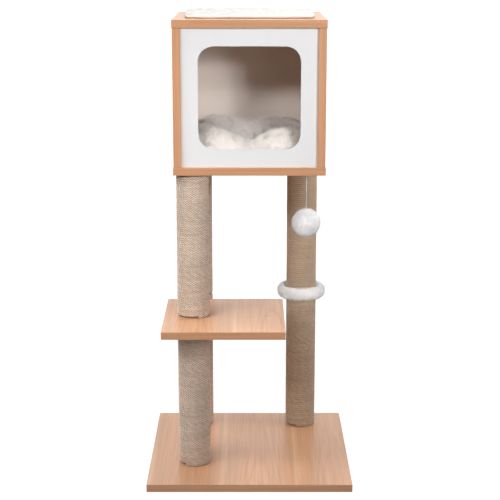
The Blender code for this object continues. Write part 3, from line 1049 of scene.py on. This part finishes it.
@dataclass(frozen=True)
class LaminateFinish:
    """Beech-print laminate with an edge band all round.

    Attributes:
        ground: Main colour.
        dark: Colour of the grain's lines.
        pale: Colour of the stripe between two printed planks.
        edging: Main colour of the edge band.
        roughness: Of the clear top layer.
        band: Thickness of the edge band that shows on a face.
        band_blur: How softly its line ends, as a share.
        band_weight: How dark its line is on a face.
        square_on: How far a face must turn to the front or side to count as an edge.
        edge_print: How far the edge band's print lies from the board's.
    """

    ground: Colour = (0.665, 0.365, 0.205)
    dark: Colour = (0.520, 0.250, 0.125)
    pale: Colour = (0.780, 0.520, 0.340)
    edging: Colour = (0.585, 0.290, 0.148)
    roughness: float = 0.30
    band: float = 0.0012
    band_blur: float = 0.25
    band_weight: float = 0.45
    square_on: float = 0.75
    edge_print: float = 3.7

    def material(
        self, name: str, lie: BoardLie, low: Vector, high: Vector, joint_at: float, print_at: float
    ) -> Material:
        """Makes one board's material.

        Args:
            name: Name for the material.
            lie: How the board lies.
            low: The board's lowest corner.
            high: Its highest corner.
            joint_at: Where two printed planks meet, across the grain.
            print_at: Which part of the print the board was cut from.

        Returns:
            The material.
        """
        material, graph = new_material(name)
        x, y, z = graph.split(graph.coordinates())
        facing = [graph.calc("ABSOLUTE", part) for part in graph.split(graph.coordinates("Normal"))[:2]]
        on_side, on_front = (graph.calc("GREATER_THAN", part, self.square_on) for part in facing)
        if lie is BoardLie.LEVEL:
            edge = graph.calc("MAXIMUM", on_side, on_front)
            across = graph.mixed(edge, x, z)
            along = graph.mixed(on_front, y, x)
            face = ((x, low.x, high.x), (y, low.y, high.y))
        else:
            edge = on_front
            across = graph.mixed(edge, y, x)
            along = z
            face = ((y, low.y, high.y), (z, low.z - 1.0, high.z + 1.0))
        wood = WoodPrint().place(
            graph,
            place=graph.combined(across, along, graph.calc("MULTIPLY_ADD", edge, self.edge_print, print_at)),
            joint_at=joint_at,
            edge=edge,
            ground=graph.tinted(edge, self.ground, self.edging),
            dark=self.dark,
            pale=self.pale,
        )
        nears = [
            graph.calc("MINIMUM", graph.calc("SUBTRACT", value, near), graph.calc("SUBTRACT", far, value))
            for value, near, far in face
        ]
        near, far = self.band * (1.0 - self.band_blur), self.band * (1.0 + self.band_blur)
        line = graph.band(graph.calc("MINIMUM", *nears), near, far, 1.0, 0.0)
        line = graph.times(line, graph.calc("SUBTRACT", 1.0, edge), self.band_weight)
        mask = Smudges().place(graph, place=graph.coordinates())["mask"]
        shader = graph.principled(
            base_color=graph.tinted(line, wood["colour"], self.dark),
            roughness=graph.mixed(mask, self.roughness, self.roughness + 0.09),
            specular_ior_level=0.6,
            coat_weight=0.15,
            coat_roughness=0.2,
            normal=graph.bump(wood["pores"], 0.00003),
        )
        graph.surface(shader)
        return material


@dataclass(frozen=True)
class PaintFinish(Finish):
    """White paint rolled on thin board.

    Attributes:
        white: Colour of the paint.
        handled: Colour where hands and dust have dulled it.
        roughness: Of the paint.
    """

    white: Colour = (0.745, 0.740, 0.744)
    handled: Colour = (0.705, 0.695, 0.690)
    roughness: float = 0.42

    def shader(self, graph: Graph) -> Socket:
        """Draws the paint with the roller's fine orange peel."""
        place = graph.coordinates()
        mask = Smudges().place(graph, place=place)["mask"]
        return graph.principled(
            base_color=graph.tinted(graph.times(mask, 0.30), self.white, self.handled),
            roughness=graph.mixed(mask, self.roughness, self.roughness + 0.08),
            normal=graph.bump(graph.noise(place, 620.0, 2.0, 0.45), 0.00004),
        )


@dataclass(frozen=True)
class YarnFinish(Finish):
    """Twisted fibre, for a piece that keeps yarn coordinates and crests.

    Attributes:
        ground: Main colour of the fibres.
        deep: Painted shade colour between the strands, where the valleys are shaded.
        straw: Colour of the palest fibres.
        coarse: Fibre marks in a metre of yarn.
    """

    ground: Colour
    deep: Colour
    straw: Colour
    coarse: float

    def shader(self, graph: Graph) -> Socket:
        """Draws the fibres and their relief."""
        fibres = TwistedFibres().place(
            graph,
            yarn=graph.value_of("yarn", "Vector"),
            crest=graph.value_of("crest"),
            ground=self.ground,
            deep=self.deep,
            straw=self.straw,
            coarse=self.coarse,
        )
        return graph.principled(
            base_color=fibres["colour"],
            roughness=0.92,
            specular_ior_level=0.25,
            normal=graph.bump(fibres["height"], 0.00035),
        )


@dataclass(frozen=True)
class PileFinish(Finish):
    """Long or short plush, for a piece whose points keep along, tone and skin.

    Attributes:
        root: Painted shade colour between the roots, where the pile is shaded.
        tip: Colour of the tips.
        sheen: Weight of the soft sheen.
        even: How far a fibre is lit like the skin that it stands on.
        open: Share of the light that passes between the hairs that one spike stands for.
        mottle: How much darker the darkest tufts are.
    """

    root: Colour
    tip: Colour
    sheen: float = 0.30
    even: float = 0.3
    open: float = 0.85
    mottle: float = 0.10

    def shader(self, graph: Graph) -> Socket:
        """Draws the fibres, which let part of the light through to what they shade."""
        pile = PileTint().place(
            graph,
            along=graph.value_of("along"),
            tone=graph.value_of("tone"),
            place=graph.coordinates(),
            root=self.root,
            tip=self.tip,
            mottle=self.mottle,
        )
        own = graph.add("ShaderNodeNewGeometry", {}, "Normal")
        shader = graph.principled(
            base_color=pile["colour"],
            roughness=0.85,
            specular_ior_level=0.2,
            sheen_weight=self.sheen,
            sheen_roughness=0.5,
            normal=graph.tinted(self.even, own, graph.value_of("skin", "Vector")),
        )
        clear = graph.add("ShaderNodeBsdfTransparent", {})
        passing = graph.times(graph.ray("Shadow"), self.open)
        return graph.add("ShaderNodeMixShader", {0: passing, 1: shader, 2: clear})


@dataclass(frozen=True)
class CoreFinish(Finish):
    """Plain inner material with its own grain: cardboard or birch.

    Attributes:
        ground: Main colour.
        dark: Colour of its marks.
        grain: Scale of the marks along X, Y and Z.
        roughness: Of the surface.
    """

    ground: Colour
    dark: Colour
    grain: Point
    roughness: float

    def shader(self, graph: Graph) -> Socket:
        """Draws the marks and their relief."""
        place = graph.coordinates()
        marks = graph.noise(place, self.grain, 3.0, 0.6)
        mask = Smudges().place(graph, place=place)["mask"]
        colour = graph.tinted(graph.band(marks, 0.38, 0.66), self.ground, self.dark)
        return graph.principled(
            base_color=graph.shaded(colour, graph.mixed(mask, 1.0, 0.92)),
            roughness=self.roughness,
            normal=graph.bump(marks, 0.0001),
        )


@dataclass(frozen=True)
class SteelFinish(Finish):
    """Zinc-plated steel.

    Attributes:
        bright: Colour of the plating.
        dull: Colour where it has dulled.
        roughness: Of the plating.
    """

    bright: Colour = (0.66, 0.67, 0.68)
    dull: Colour = (0.45, 0.45, 0.44)
    roughness: float = 0.30

    def shader(self, graph: Graph) -> Socket:
        """Draws the plating with fine turning marks."""
        place = graph.coordinates()
        mask = Smudges().place(graph, place=graph.scaled(place, 6.0))["mask"]
        marks = graph.noise(place, (200.0, 200.0, 4000.0))
        return graph.principled(
            base_color=graph.tinted(mask, self.bright, self.dull),
            metallic=1.0,
            roughness=graph.mixed(mask, self.roughness, self.roughness + 0.18),
            normal=graph.bump(marks, 0.00001),
        )


# Sub-assemblies


def repaint(node: Piece, material: Material) -> None:
    """Puts one material on a CAD node, in place of its plain one."""
    if not node.data.materials:
        node.data.materials.append(material)
    for slot in node.material_slots:
        slot.material = material


@dataclass
class Cabinetry:
    """Boards and panels, which keep their CAD shapes and get their finishes.

    Attributes:
        nodes: The CAD nodes by name.
        laminate: Finish of the boards.
        paint: Finish of the front panel.
        back_paint: Finish of the back panel.
        boards: How each board lies, where its printed planks meet and where its print starts.
    """

    nodes: Mapping[str, Piece]
    laminate: LaminateFinish = LaminateFinish()
    paint: PaintFinish = PaintFinish()
    # A paler, warmer copy of the white paint: the warm bounce light inside the cabin is painted into its
    # colour.
    back_paint: PaintFinish = PaintFinish((0.940, 0.880, 0.825), (0.880, 0.815, 0.750))
    boards: Mapping[str, tuple[BoardLie, float, float]] = field(
        default_factory=lambda: {
            "base_board": (BoardLie.LEVEL, -0.0545, 0.0),
            "shelf_board": (BoardLie.LEVEL, -0.0310, 1.3),
            "roof_board": (BoardLie.LEVEL, 0.0420, 2.9),
            "floor_board": (BoardLie.LEVEL, -0.0900, 4.1),
            "left_wall": (BoardLie.UPRIGHT, 0.0300, 5.6),
            "right_wall": (BoardLie.UPRIGHT, 0.1000, 7.2),
        }
    )

    def dress(self) -> list[str]:
        """Gives every board and panel its material, and lists the dressed nodes."""
        for name, (lie, joint_at, print_at) in self.boards.items():
            low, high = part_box(name)
            board = self.laminate.material(f"laminate_{name}", lie, low, high, joint_at, print_at)
            repaint(self.nodes[name], board)
        panels = {"front_panel": self.paint, "back_panel": self.back_paint}
        for name, paint in panels.items():
            repaint(self.nodes[name], paint.material(f"paint_{name}"))
        return [*self.boards, *panels]


@dataclass
class InnerParts:
    """Tubes, plugs, dowels and fasteners, which keep their CAD shapes.

    Attributes:
        nodes: The CAD nodes by name.
        finishes: The finish of the nodes whose names start with each word.
    """

    nodes: Mapping[str, Piece]
    finishes: Mapping[tuple[str, ...], Finish] = field(
        default_factory=lambda: {
            ("tube_",): CoreFinish((0.36, 0.23, 0.13), (0.27, 0.16, 0.09), (60.0, 60.0, 420.0), 0.85),
            ("bottom_plug_", "top_plug_", "floor_dowel_", "roof_dowel_"): CoreFinish(
                (0.68, 0.50, 0.32), (0.55, 0.37, 0.21), (260.0, 260.0, 14.0), 0.62
            ),
            ("base_bolt_", "cabin_bolt_", "joining_stud_"): SteelFinish(),
        }
    )

    def dress(self) -> list[str]:
        """Gives every inner part its material, and lists the dressed nodes."""
        dressed = []
        for starts, finish in self.finishes.items():
            material = finish.material(f"{starts[0]}finish")
            found = [name for name in self.nodes if name.startswith(starts)]
            for name in found:
                repaint(self.nodes[name], material)
            dressed += found
        return dressed


@dataclass(frozen=True)
class RopeWinding:
    """Sisal rope wound round one post section, turn on turn.

    Attributes:
        section: Name of the post section.
        rope: The rope itself.
        start: Angle at which the winding starts.
        seed: Picks this section's small irregularities.
        steps: Points along one turn.
        slack: How far a turn sinks in from the winding's outside, at most twice this.
        stray: How far a turn lies above or below its place, at most.
        roll: How far the rope rolls round its own line, in radians.
        waves: Angles on the post between two values of slack, of stray and of roll.
        calm: 1 over the share of the winding, at each end, in which the stray sets in.
        cut: Share of the radius that is left at a cut end.
        taper: Length of rope over which a cut end thins.
        fuzz: Loose fibres that stand off the rope.
        fuzz_count: Number of loose fibres.
        fuzz_depth: How deep their roots are sunk in the rope.
    """

    section: str
    rope: Yarn
    start: float
    seed: int
    steps: int = 104
    slack: float = 0.00012
    stray: float = 0.00014
    roll: float = 0.35
    waves: tuple[float, float, float] = (1.1, 1.7, 2.3)
    calm: float = 40.0
    cut: float = 0.45
    taper: float = 0.005
    fuzz: Pile = Pile(0.0052, 0.00022, 1, 2.2, 0.5, 0.004, 0.0)
    fuzz_count: int = 500
    fuzz_depth: float = 0.0006

    def build(self, material: Material) -> Piece:
        """Winds the rope in the space of the section's CAD sleeve.

        The rope's line is a helix that climbs one rope's width in each turn, with a slow wander of
        up to a quarter of a millimetre. Both cut ends taper off.
        """
        node = f"sisal_rope_{self.section}"
        low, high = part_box(node)
        rng = np.random.default_rng(self.seed)
        radius = self.rope.radius
        ring = (high.x - low.x) / 2 - radius
        climb = high.z - low.z - 2 * radius
        turns = climb / (2 * radius)
        share = np.linspace(0.0, 1.0, round(turns * self.steps) + 1)
        angle = self.start + math.tau * turns * share
        from_end = np.minimum(share, 1.0 - share)
        out = ring + self.slack * (wander(angle, self.waves[0], rng) - 1.0)
        lift = self.stray * wander(angle, self.waves[1], rng) * np.minimum(1.0, from_end * self.calm)
        foot = ((low.x + high.x) / 2, (low.y + high.y) / 2, low.z + radius)
        path = foot + spokes(angle, out, climb * share + lift)
        thin = ease(from_end * turns * math.tau * ring / self.taper)
        taper = self.cut + (1.0 - self.cut) * thin
        spoke = spokes(angle)
        rope = self.rope.laid(path, spoke, self.roll * wander(angle, self.waves[2], rng), taper)
        rope = rope.joined(self.stray_hairs(path, spoke, rng))
        piece = rope.piece(f"rope_{self.section}", material)
        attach(piece, STAND)
        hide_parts(node)
        return piece

    def stray_hairs(self, path: Array, spoke: Array, rng: Rng) -> Surface:
        """Loose fibres with their roots on the outside of the winding.

        Args:
            path: The rope's line.
            spoke: Outward direction along it.
            rng: Source of the random values.

        Returns:
            The fibres, with the rope's values.
        """
        picked = rng.choice(len(path), self.fuzz_count, replace=False)
        roots = path[picked] + spoke[picked] * (self.rope.radius - self.fuzz_depth)
        hairs = self.fuzz.grown(roots, spoke[picked], 1.0, rng)
        tone = hairs.values["tone"][:, None]
        hairs.values = {"yarn": tone * UP, "crest": np.ones(len(tone))}
        return hairs


@dataclass(frozen=True)
class PlushPad:
    """A stuffed pad with pile on it.

    Attributes:
        node: The CAD node that it replaces.
        pad: Its shape before it is filled.
        stuffing: How it is filled.
        pile: Its fibres.
        count: Number of fibres.
        lowest: Smallest upward part of the skin's direction that still has fibres.
        fill: How tight it is; not used.
        room: Lowest and highest corner of the space that its fibres stay in.
        seed: Picks this pad's fibres.
    """

    node: str
    pad: Pad
    stuffing: Stuffing
    pile: Pile
    count: int
    lowest: float
    fill: float
    room: tuple[Point, Point]
    seed: int

    def build(self, material: Material) -> Piece:
        """Fills the pad and grows its pile, in the plush finish."""
        rng = np.random.default_rng(self.seed)
        core = self.stuffing.fill(self.pad.skin(), f"{self.node}_core")
        roots, normals = scattered(core, self.count, self.lowest, rng)
        pile = self.pile.grown(roots - normals * self.pile.width, normals, 1.0, rng)
        self.pile.ground(core, along=0.3)
        plush = core.joined(pile)
        plush.points = np.clip(plush.points, *self.room)
        piece = plush.piece(f"{self.node}_plush", material)
        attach(piece, STAND)
        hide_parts(self.node)
        return piece


@dataclass(frozen=True)
class Torus:
    """A ring with an elliptic section.

    Attributes:
        centre: Middle of the ring.
        middle: Radius of the line through the sections' middles.
        wide: Half the section's width.
        tall: Half the section's height.
    """

    centre: Array
    middle: float
    wide: float
    tall: float

    def skin(self, turn: Array, round_it: Array) -> tuple[Array, Array]:
        """Points on the ring and their outward directions.

        Args:
            turn: Angle round Z.
            round_it: Angle round the section, from outwards over the underside.

        Returns:
            The points and the directions.
        """
        out, down = np.cos(round_it), np.sin(round_it)
        points = self.centre + spokes(turn, self.middle + self.wide * out, -self.tall * down)
        return points, unit(spokes(turn, out / self.wide, -down / self.tall))


@dataclass(frozen=True)
class PlushCollar:
    """The plush ring round the right post, which hides the joint of its two sections.

    Attributes:
        pile: Its fibres.
        count: Number of fibres.
        seed: Picks its fibres.
        clear: Distance that the ring keeps from the rope.
        slim: How much narrower the core's section is than the solid's, on each side.
        flat: How much lower it is, above and below.
        depth: How deep the fibres' roots are sunk.
        shortest: Share of the full length that the fibres beside the rope have; their darker tone is painted
            shade beside the rope.
    """

    pile: Pile = Pile(0.0095, 0.00085, 1, 0.60, 0.40, 0.008, 0.45, 0.10)
    count: int = 9000
    seed: int = 31
    clear: float = 0.0003
    slim: float = 0.0030
    flat: float = 0.0005
    depth: float = 0.0004
    shortest: float = 0.55

    def build(self, material: Material) -> Piece:
        """Makes the ring in the space of its CAD solid.

        The core's section is an ellipse a little slimmer than the solid's. The fibres stand on it
        all round, and those that would reach the rope bend along it.
        """
        low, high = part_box("plush_collar")
        rope_low, rope_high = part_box("sisal_rope_back_right_upper")
        centre = np.array((low + high) / 2)
        inner = (rope_high.x - rope_low.x) / 2 + self.clear
        outer = (high.x - low.x) / 2
        wide, tall = (outer - inner) / 2 - self.slim, (high.z - low.z) / 2 - self.flat
        torus = Torus(centre, (inner + outer) / 2, wide, tall)
        core = closed_ring(torus.skin(evenly_round(96)[:, None], evenly_round(20)[None])[0])

        rng = np.random.default_rng(self.seed)
        turn, round_it = rng.uniform(0.0, math.tau, (2, self.count))
        roots, normals = torus.skin(turn, round_it)
        reach = self.shortest + (1.0 - self.shortest) * np.abs(np.cos(round_it / 2))
        pile = self.pile.grown(roots - normals * self.depth, normals, reach, rng)
        self.pile.ground(core, along=0.4)
        plush = core.joined(pile)
        level = plush.points[:, :2] - centre[:2]
        far = np.linalg.norm(level, axis=-1, keepdims=True)
        plush.points[:, :2] = centre[:2] + level * np.maximum(1.0, inner / far)
        piece = plush.piece("collar_plush", material)
        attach(piece, STAND)
        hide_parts("plush_collar")
        return piece


@dataclass(frozen=True)
class HangingToy:
    """The pompon, its string and the knots at the string's upper end.

    Attributes:
        string: The string's yarn.
        step: Distance between two points of the string's line.
        pile: The pompon's fibres.
        core: Share of the pompon's radius that its wound core takes.
        count: Number of fibres.
        seed: Picks the pompon's fibres.
        depth: How deep the fibres' roots are sunk.
        hollow: Direction of the place where the fibres are short, and darker as painted shade in the hollow.
        hollow_depth: How much shorter they are there, as a share.
        hollow_width: How wide that place is, as 1 less the cosine of the angle.
    """

    string: Yarn = Yarn(0.0009, 3, 0.0052, 0.22, 4)
    step: float = 0.0005
    pile: Pile = Pile(0.0078, 0.00085, 1, 0.45, 0.40, 0.0050, 0.40)
    core: float = 0.85
    count: int = 9000
    seed: int = 47
    depth: float = 0.0005
    hollow: Point = (0.42, -0.80, -0.42)
    hollow_depth: float = 0.50
    hollow_width: float = 0.035

    def build_knots(self, cotton: Material) -> list[Piece]:
        """Ties the knot that is sunk in the board and the one that hangs under it."""
        knots = []
        for node, body in (("string_anchor", STAND), ("string_knot", "string_link")):
            low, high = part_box(node)
            size = (high.x - low.x) / 2
            centre = ((low.x + high.x) / 2, (low.y + high.y) / 2, high.z - size)
            knot = self.string.knot(centre, size)
            if node == "string_anchor":
                knot = knot.joined(self.straight(centre, low.z, centre[2]))
            piece = knot.piece(f"{node}_tied", cotton)
            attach(piece, body)
            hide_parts(node)
            knots.append(piece)
        return knots

    def straight(self, centre: Point, low: float, high: float) -> Surface:
        """A straight piece of string on the vertical line through a point, from low to high."""
        z = np.linspace(high, low, max(8, round((high - low) / self.step)))
        path = UP * z[:, None] + (centre[0], centre[1], 0.0)
        return self.string.laid(path, np.broadcast_to((1.0, 0.0, 0.0), path.shape))

    def build_string(self, cotton: Material) -> Piece:
        """Hangs the string that carries the pompon."""
        low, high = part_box("pompon_string")
        centre = ((low.x + high.x) / 2, (low.y + high.y) / 2, high.z)
        piece = self.straight(centre, low.z, high.z).piece("string_twisted", cotton)
        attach(piece, "pompon")
        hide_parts("pompon_string")
        return piece

    def build_pompon(self, plush: Material) -> Piece:
        """Grows the pompon's fibres on its core.

        The fibres' roots lie on a spiral with the golden angle between neighbours.
        """
        low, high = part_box("pompon")
        centre = np.array((low + high) / 2)
        inner = (high.x - low.x) / 2 * self.core
        tilt = np.linspace(-np.pi / 2, np.pi / 2, 26)[1:-1, None]
        ball = spokes(evenly_round(40), np.cos(tilt), np.sin(tilt))
        core = closed_shell(centre + inner * ball, centre - inner * UP, centre + inner * UP)

        rng = np.random.default_rng(self.seed)
        number = np.arange(self.count)
        height = 1.0 - (2.0 * number + 1.0) / self.count
        golden = number * math.pi * (3.0 - math.sqrt(5.0))
        normals = spokes(golden, np.sqrt(1.0 - height**2), height)
        hollow = np.array(self.hollow)
        aside = 1.0 - normals @ hollow / np.linalg.norm(hollow)
        reach = 1.0 - self.hollow_depth * np.exp(-(aside / self.hollow_width))
        pile = self.pile.grown(centre + normals * (inner - self.depth), normals, reach, rng)
        self.pile.ground(core, along=0.5)
        piece = core.joined(pile).piece("pompon_plush", plush)
        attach(piece, "pompon")
        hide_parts("pompon")
        return piece


# Studio


@dataclass(frozen=True)
class Softbox:
    """A rectangular lamp that is aimed at a point.

    Attributes:
        name: The lamp's name.
        azimuth: Degrees to the right of the camera, seen from the object.
        elevation: Degrees above the aim.
        distance: From the aim.
        width: Size from left to right.
        height: Size upwards.
        power: In watts.
        spread: Angle in degrees that its grid lets light out in.
        aim: The point that it is aimed at.
    """

    name: str
    azimuth: float
    elevation: float
    distance: float
    width: float
    height: float
    power: float
    spread: float = 180.0
    aim: Point = (0.0, 0.0, 0.80)

    def build(self) -> Piece:
        """Puts up the lamp."""
        lamp = bpy.data.lights.new(self.name, "AREA")
        lamp.shape = "RECTANGLE"
        lamp.size = self.width
        lamp.size_y = self.height
        lamp.energy = self.power
        lamp.spread = math.radians(self.spread)
        side, up = math.radians(self.azimuth), math.radians(self.elevation)
        away = Vector((math.sin(side) * math.cos(up), -math.cos(side) * math.cos(up), math.sin(up)))
        holder = placed(self.name, lamp)
        holder.location = Vector(self.aim) + away * self.distance
        holder.rotation_euler = away.to_track_quat("Z", "Y").to_euler()
        holder.visible_camera = False
        return holder


@dataclass(frozen=True)
class Studio:
    """Floor, surroundings, lamps and camera.

    Attributes:
        lamps: The softboxes.
        ambient: Strength of the light from in front.
        backdrop: Strength of the light from the white backdrop behind the object.
        room: Brightness of the room in front of the object, as reflections show it.
        eye: Where the camera stands.
        pitch: Degrees that it looks down.
        lens: Focal length in millimetres on a 36 mm sensor.
        floor_half: Half the floor's width.
        floor_grey: How much of the light the floor gives back.
        glow_near: Glow of the floor beside the object, for the camera and reflections.
        glow_far: Glow of the floor far away.
        glow_reach: Distances at which the glow starts and stops changing.
    """

    lamps: tuple[Softbox, ...] = (
        Softbox("left_low", -24.0, 22.5, 3.0, 0.50, 0.30, 1.95, 46.0),
        Softbox("left_side", -60.0, 20.0, 1.5, 0.50, 0.50, 3.0),
        Softbox("left_fill", -50.0, 60.0, 1.6, 0.40, 0.40, 0.40, 36.0, aim=(-0.05, -0.10, 0.10)),
        Softbox("right_low", 29.0, 6.0, 3.0, 0.40, 0.30, 0.80, 46.0),
        Softbox("right_middle", 24.0, 12.0, 3.0, 0.50, 0.30, 1.65, 46.0),
        Softbox("right_high", 17.0, 22.0, 3.0, 0.40, 0.30, 0.85, 46.0),
        Softbox("right_side", 82.0, 28.0, 1.5, 0.50, 0.50, 0.9),
        Softbox("top_left", -90.0, 60.0, 1.6, 0.80, 0.80, 9.0),
        Softbox("top_right", 90.0, 60.0, 1.6, 0.80, 0.80, 17.0),
    )
    ambient: float = 0.045
    backdrop: float = 0.90
    room: float = 0.15
    eye: Point = (0.0012, -2.7222, 1.1032)
    pitch: float = 13.249
    lens: float = 94.30
    floor_half: float = 40.0
    floor_grey: float = 0.50
    glow_near: float = 0.66
    glow_far: float = 1.0
    glow_reach: tuple[float, float] = (0.45, 2.2)

    def build(self) -> None:
        """Builds the studio."""
        self.build_floor()
        self.build_world()
        for lamp in self.lamps:
            lamp.build()
        self.build_camera()
        bpy.context.scene.view_settings.view_transform = "Standard"

    def build_floor(self) -> Piece:
        """Lays the floor, which glows white for the camera but keeps the object's shadow."""
        material, graph = new_material("studio_floor")
        place = graph.coordinates()
        away = graph.add("ShaderNodeVectorMath", {0: place}, "Value", operation="LENGTH")
        glow = graph.band(away, *self.glow_reach, self.glow_near, self.glow_far)
        grain = graph.band(graph.noise(place, 60.0), 0.2, 0.8, 0.99, 1.01)
        mirrored = graph.times(graph.ray("Glossy"), self.room)
        seen = graph.calc("MAXIMUM", graph.seen_directly(), mirrored)
        shader = graph.principled(
            base_color=graph.shaded((self.floor_grey,) * 3, grain),
            roughness=0.9,
            specular_ior_level=0.0,
            emission_color=graph.shaded(WHITE, graph.times(glow, seen)),
            emission_strength=1.0,
        )
        graph.surface(shader)
        corners = np.array([[-1.0, -1.0, 0.0], [1.0, -1.0, 0.0], [1.0, 1.0, 0.0], [-1.0, 1.0, 0.0]])
        floor = Surface(corners * self.floor_half, [np.arange(4)[None]]).piece("studio_floor", material)
        return floor

    def build_world(self) -> None:
        """Sets the light from all round, stronger from the backdrop, and white to the eye."""
        world = bpy.data.worlds.new("studio_world")
        graph = emptied(world)
        towards = graph.split(graph.coordinates("Generated"))[1]
        light = graph.band(towards, -0.2, 0.8, self.ambient, self.backdrop)
        mirrored = graph.band(towards, -0.3, 0.3, self.room, 1.0)
        strength = graph.mixed(graph.ray("Glossy"), light, mirrored)
        strength = graph.mixed(graph.seen_directly(), strength, 1.0)
        background = graph.add("ShaderNodeBackground", {"Color": WHITE, "Strength": strength})
        graph.surface(background, "ShaderNodeOutputWorld")
        bpy.context.scene.world = world

    def build_camera(self) -> Piece:
        """Sets up the camera at the photograph's angle."""
        lens = bpy.data.cameras.new("studio_camera")
        lens.lens = self.lens
        lens.sensor_width = 36.0
        camera = placed("studio_camera", lens)
        camera.location = self.eye
        camera.rotation_euler = (math.radians(90.0 - self.pitch), 0.0, 0.0)
        bpy.context.scene.camera = camera
        return camera


# The whole object

# The second colour of each yarn is painted shade for the valleys between its strands.
SISAL = YarnFinish((0.95, 0.765, 0.630), (0.22, 0.12, 0.07), (0.98, 0.89, 0.78), 900.0)
# A darker, browner copy of the sisal for the right post, with the shade and warm bounce light under the
# cabin painted into its colour.
SHADED_SISAL = YarnFinish((0.87, 0.645, 0.465), (0.12, 0.06, 0.028), (0.91, 0.76, 0.60), 900.0)
COTTON = YarnFinish((0.97, 0.965, 0.95), (0.90, 0.88, 0.86), (0.98, 0.97, 0.96), 2600.0)
# The first colour of each plush is painted shade between the roots.
BED_PLUSH = PileFinish((0.91, 0.81, 0.72), (1.0, 0.985, 0.965), even=0.1, open=0.985, mottle=0.17)
ROOF_PLUSH = PileFinish((0.755, 0.715, 0.68), (0.83, 0.81, 0.79), sheen=0.05, open=0.20, mottle=0.02)
COLLAR_PLUSH = PileFinish((0.97, 0.94, 0.92), (1.0, 0.99, 0.985), open=0.985, mottle=0.18)
WHITE_PLUSH = PileFinish((0.94, 0.92, 0.905), (0.98, 0.97, 0.965), open=0.98, mottle=0.18)
ROPE = Yarn(0.00225, 3, 0.0180, 0.40, press=4.0)
LOOSE_ROPE = Yarn(0.00225, 3, 0.0180, 0.40, press=2.4)

SECTIONS: dict[str, float] = {
    "front_left_lower": -2.2,
    "front_left_upper": -1.2,
    "back_left_lower": 1.6,
    "back_left_upper": 1.7,
    "back_right_lower": -1.9,
    "back_right_upper": -0.8,
}


def build_posts() -> list[Piece]:
    """Winds all six post sections."""
    pale, shaded_sisal = SISAL.material("sisal_rope"), SHADED_SISAL.material("brown_sisal_rope")
    windings = []
    for seed, (section, start) in enumerate(SECTIONS.items(), start=11):
        # The right post takes the sisal copy with painted shade.
        rope, sisal = (LOOSE_ROPE, shaded_sisal) if "right" in section else (ROPE, pale)
        windings.append(RopeWinding(section, rope, start, seed).build(sisal))
    return windings


def roof_cushion() -> PlushPad:
    """The thin cushion on the roof, in the space of its CAD solid."""
    low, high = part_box("roof_cushion")
    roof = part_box("roof_board")[1].z
    middle = (low + high) / 2
    over = 0.004
    return PlushPad(
        node="roof_cushion",
        pad=RoofPad(
            centre=(middle.x, middle.y, roof + 0.0012),
            width=high.x - low.x - 0.004,
            depth=high.y - low.y - 0.004,
            rim=0.0052,
            bulge=0.0018,
            squareness=14.0,
            pull=0.004,
        ),
        stuffing=Stuffing(voxel=0.004, most=0.0015),
        pile=Pile(length=0.0030, width=0.00070, joints=0, lean=0.35, stray=0.20, tuft=0.006, gather=0.15),
        count=50000,
        lowest=-0.2,
        fill=0.35,
        room=((low.x - over, low.y - over, roof + 0.0003), (high.x + over, high.y + over, high.z + over)),
        seed=61,
    )


def cabin_bed() -> PlushPad:
    """The long-haired bed inside the cabin, in the space of its CAD solid."""
    low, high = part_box("bed_cushion")
    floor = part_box("floor_board")[1].z
    left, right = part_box("left_wall")[1].x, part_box("right_wall")[0].x
    front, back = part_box("front_panel")[1].y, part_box("back_panel")[0].y
    middle = (low + high) / 2
    gap = 0.0006
    return PlushPad(
        node="bed_cushion",
        pad=BedPad(
            centre=(middle.x, middle.y, floor + 0.0005),
            width=high.x - low.x - 0.010,
            depth=high.y - low.y - 0.014,
            rim=0.016,
            bulge=0.004,
        ),
        stuffing=Stuffing(voxel=0.006, most=0.006),
        pile=Pile(0.0200, 0.00080, joints=2, lean=0.75, stray=0.30, tuft=0.012, gather=0.50, droop=0.10),
        count=34000,
        lowest=-0.1,
        fill=0.45,
        room=((left + gap, front + gap, floor + 0.0004), (right - gap, back - gap, high.z + 0.014)),
        seed=73,
    )


def main() -> None:
    """Builds the scene and reports each piece."""
    logging.basicConfig(level=logging.INFO, format="%(name)s: %(message)s")
    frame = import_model()
    Studio().build()
    log.info("studio: floor, surroundings, lamps and camera")
    log.info("boards and panels: %s", ", ".join(Cabinetry(frame["nodes"]).dress()))
    log.info("inner parts: %s", ", ".join(InnerParts(frame["nodes"]).dress()))

    cotton = COTTON.material("cotton_string")
    toy = HangingToy()
    pieces = build_posts()
    pieces.append(cabin_bed().build(BED_PLUSH.material("bed_plush")))
    pieces.append(roof_cushion().build(ROOF_PLUSH.material("roof_plush")))
    pieces.append(PlushCollar().build(COLLAR_PLUSH.material("collar_plush")))
    pieces += toy.build_knots(cotton)
    pieces += [toy.build_string(cotton), toy.build_pompon(WHITE_PLUSH.material("white_plush"))]
    for piece in pieces:
        log.info("%s: %d faces", piece.name, len(piece.data.polygons))


if __name__ == "__main__":
    main()
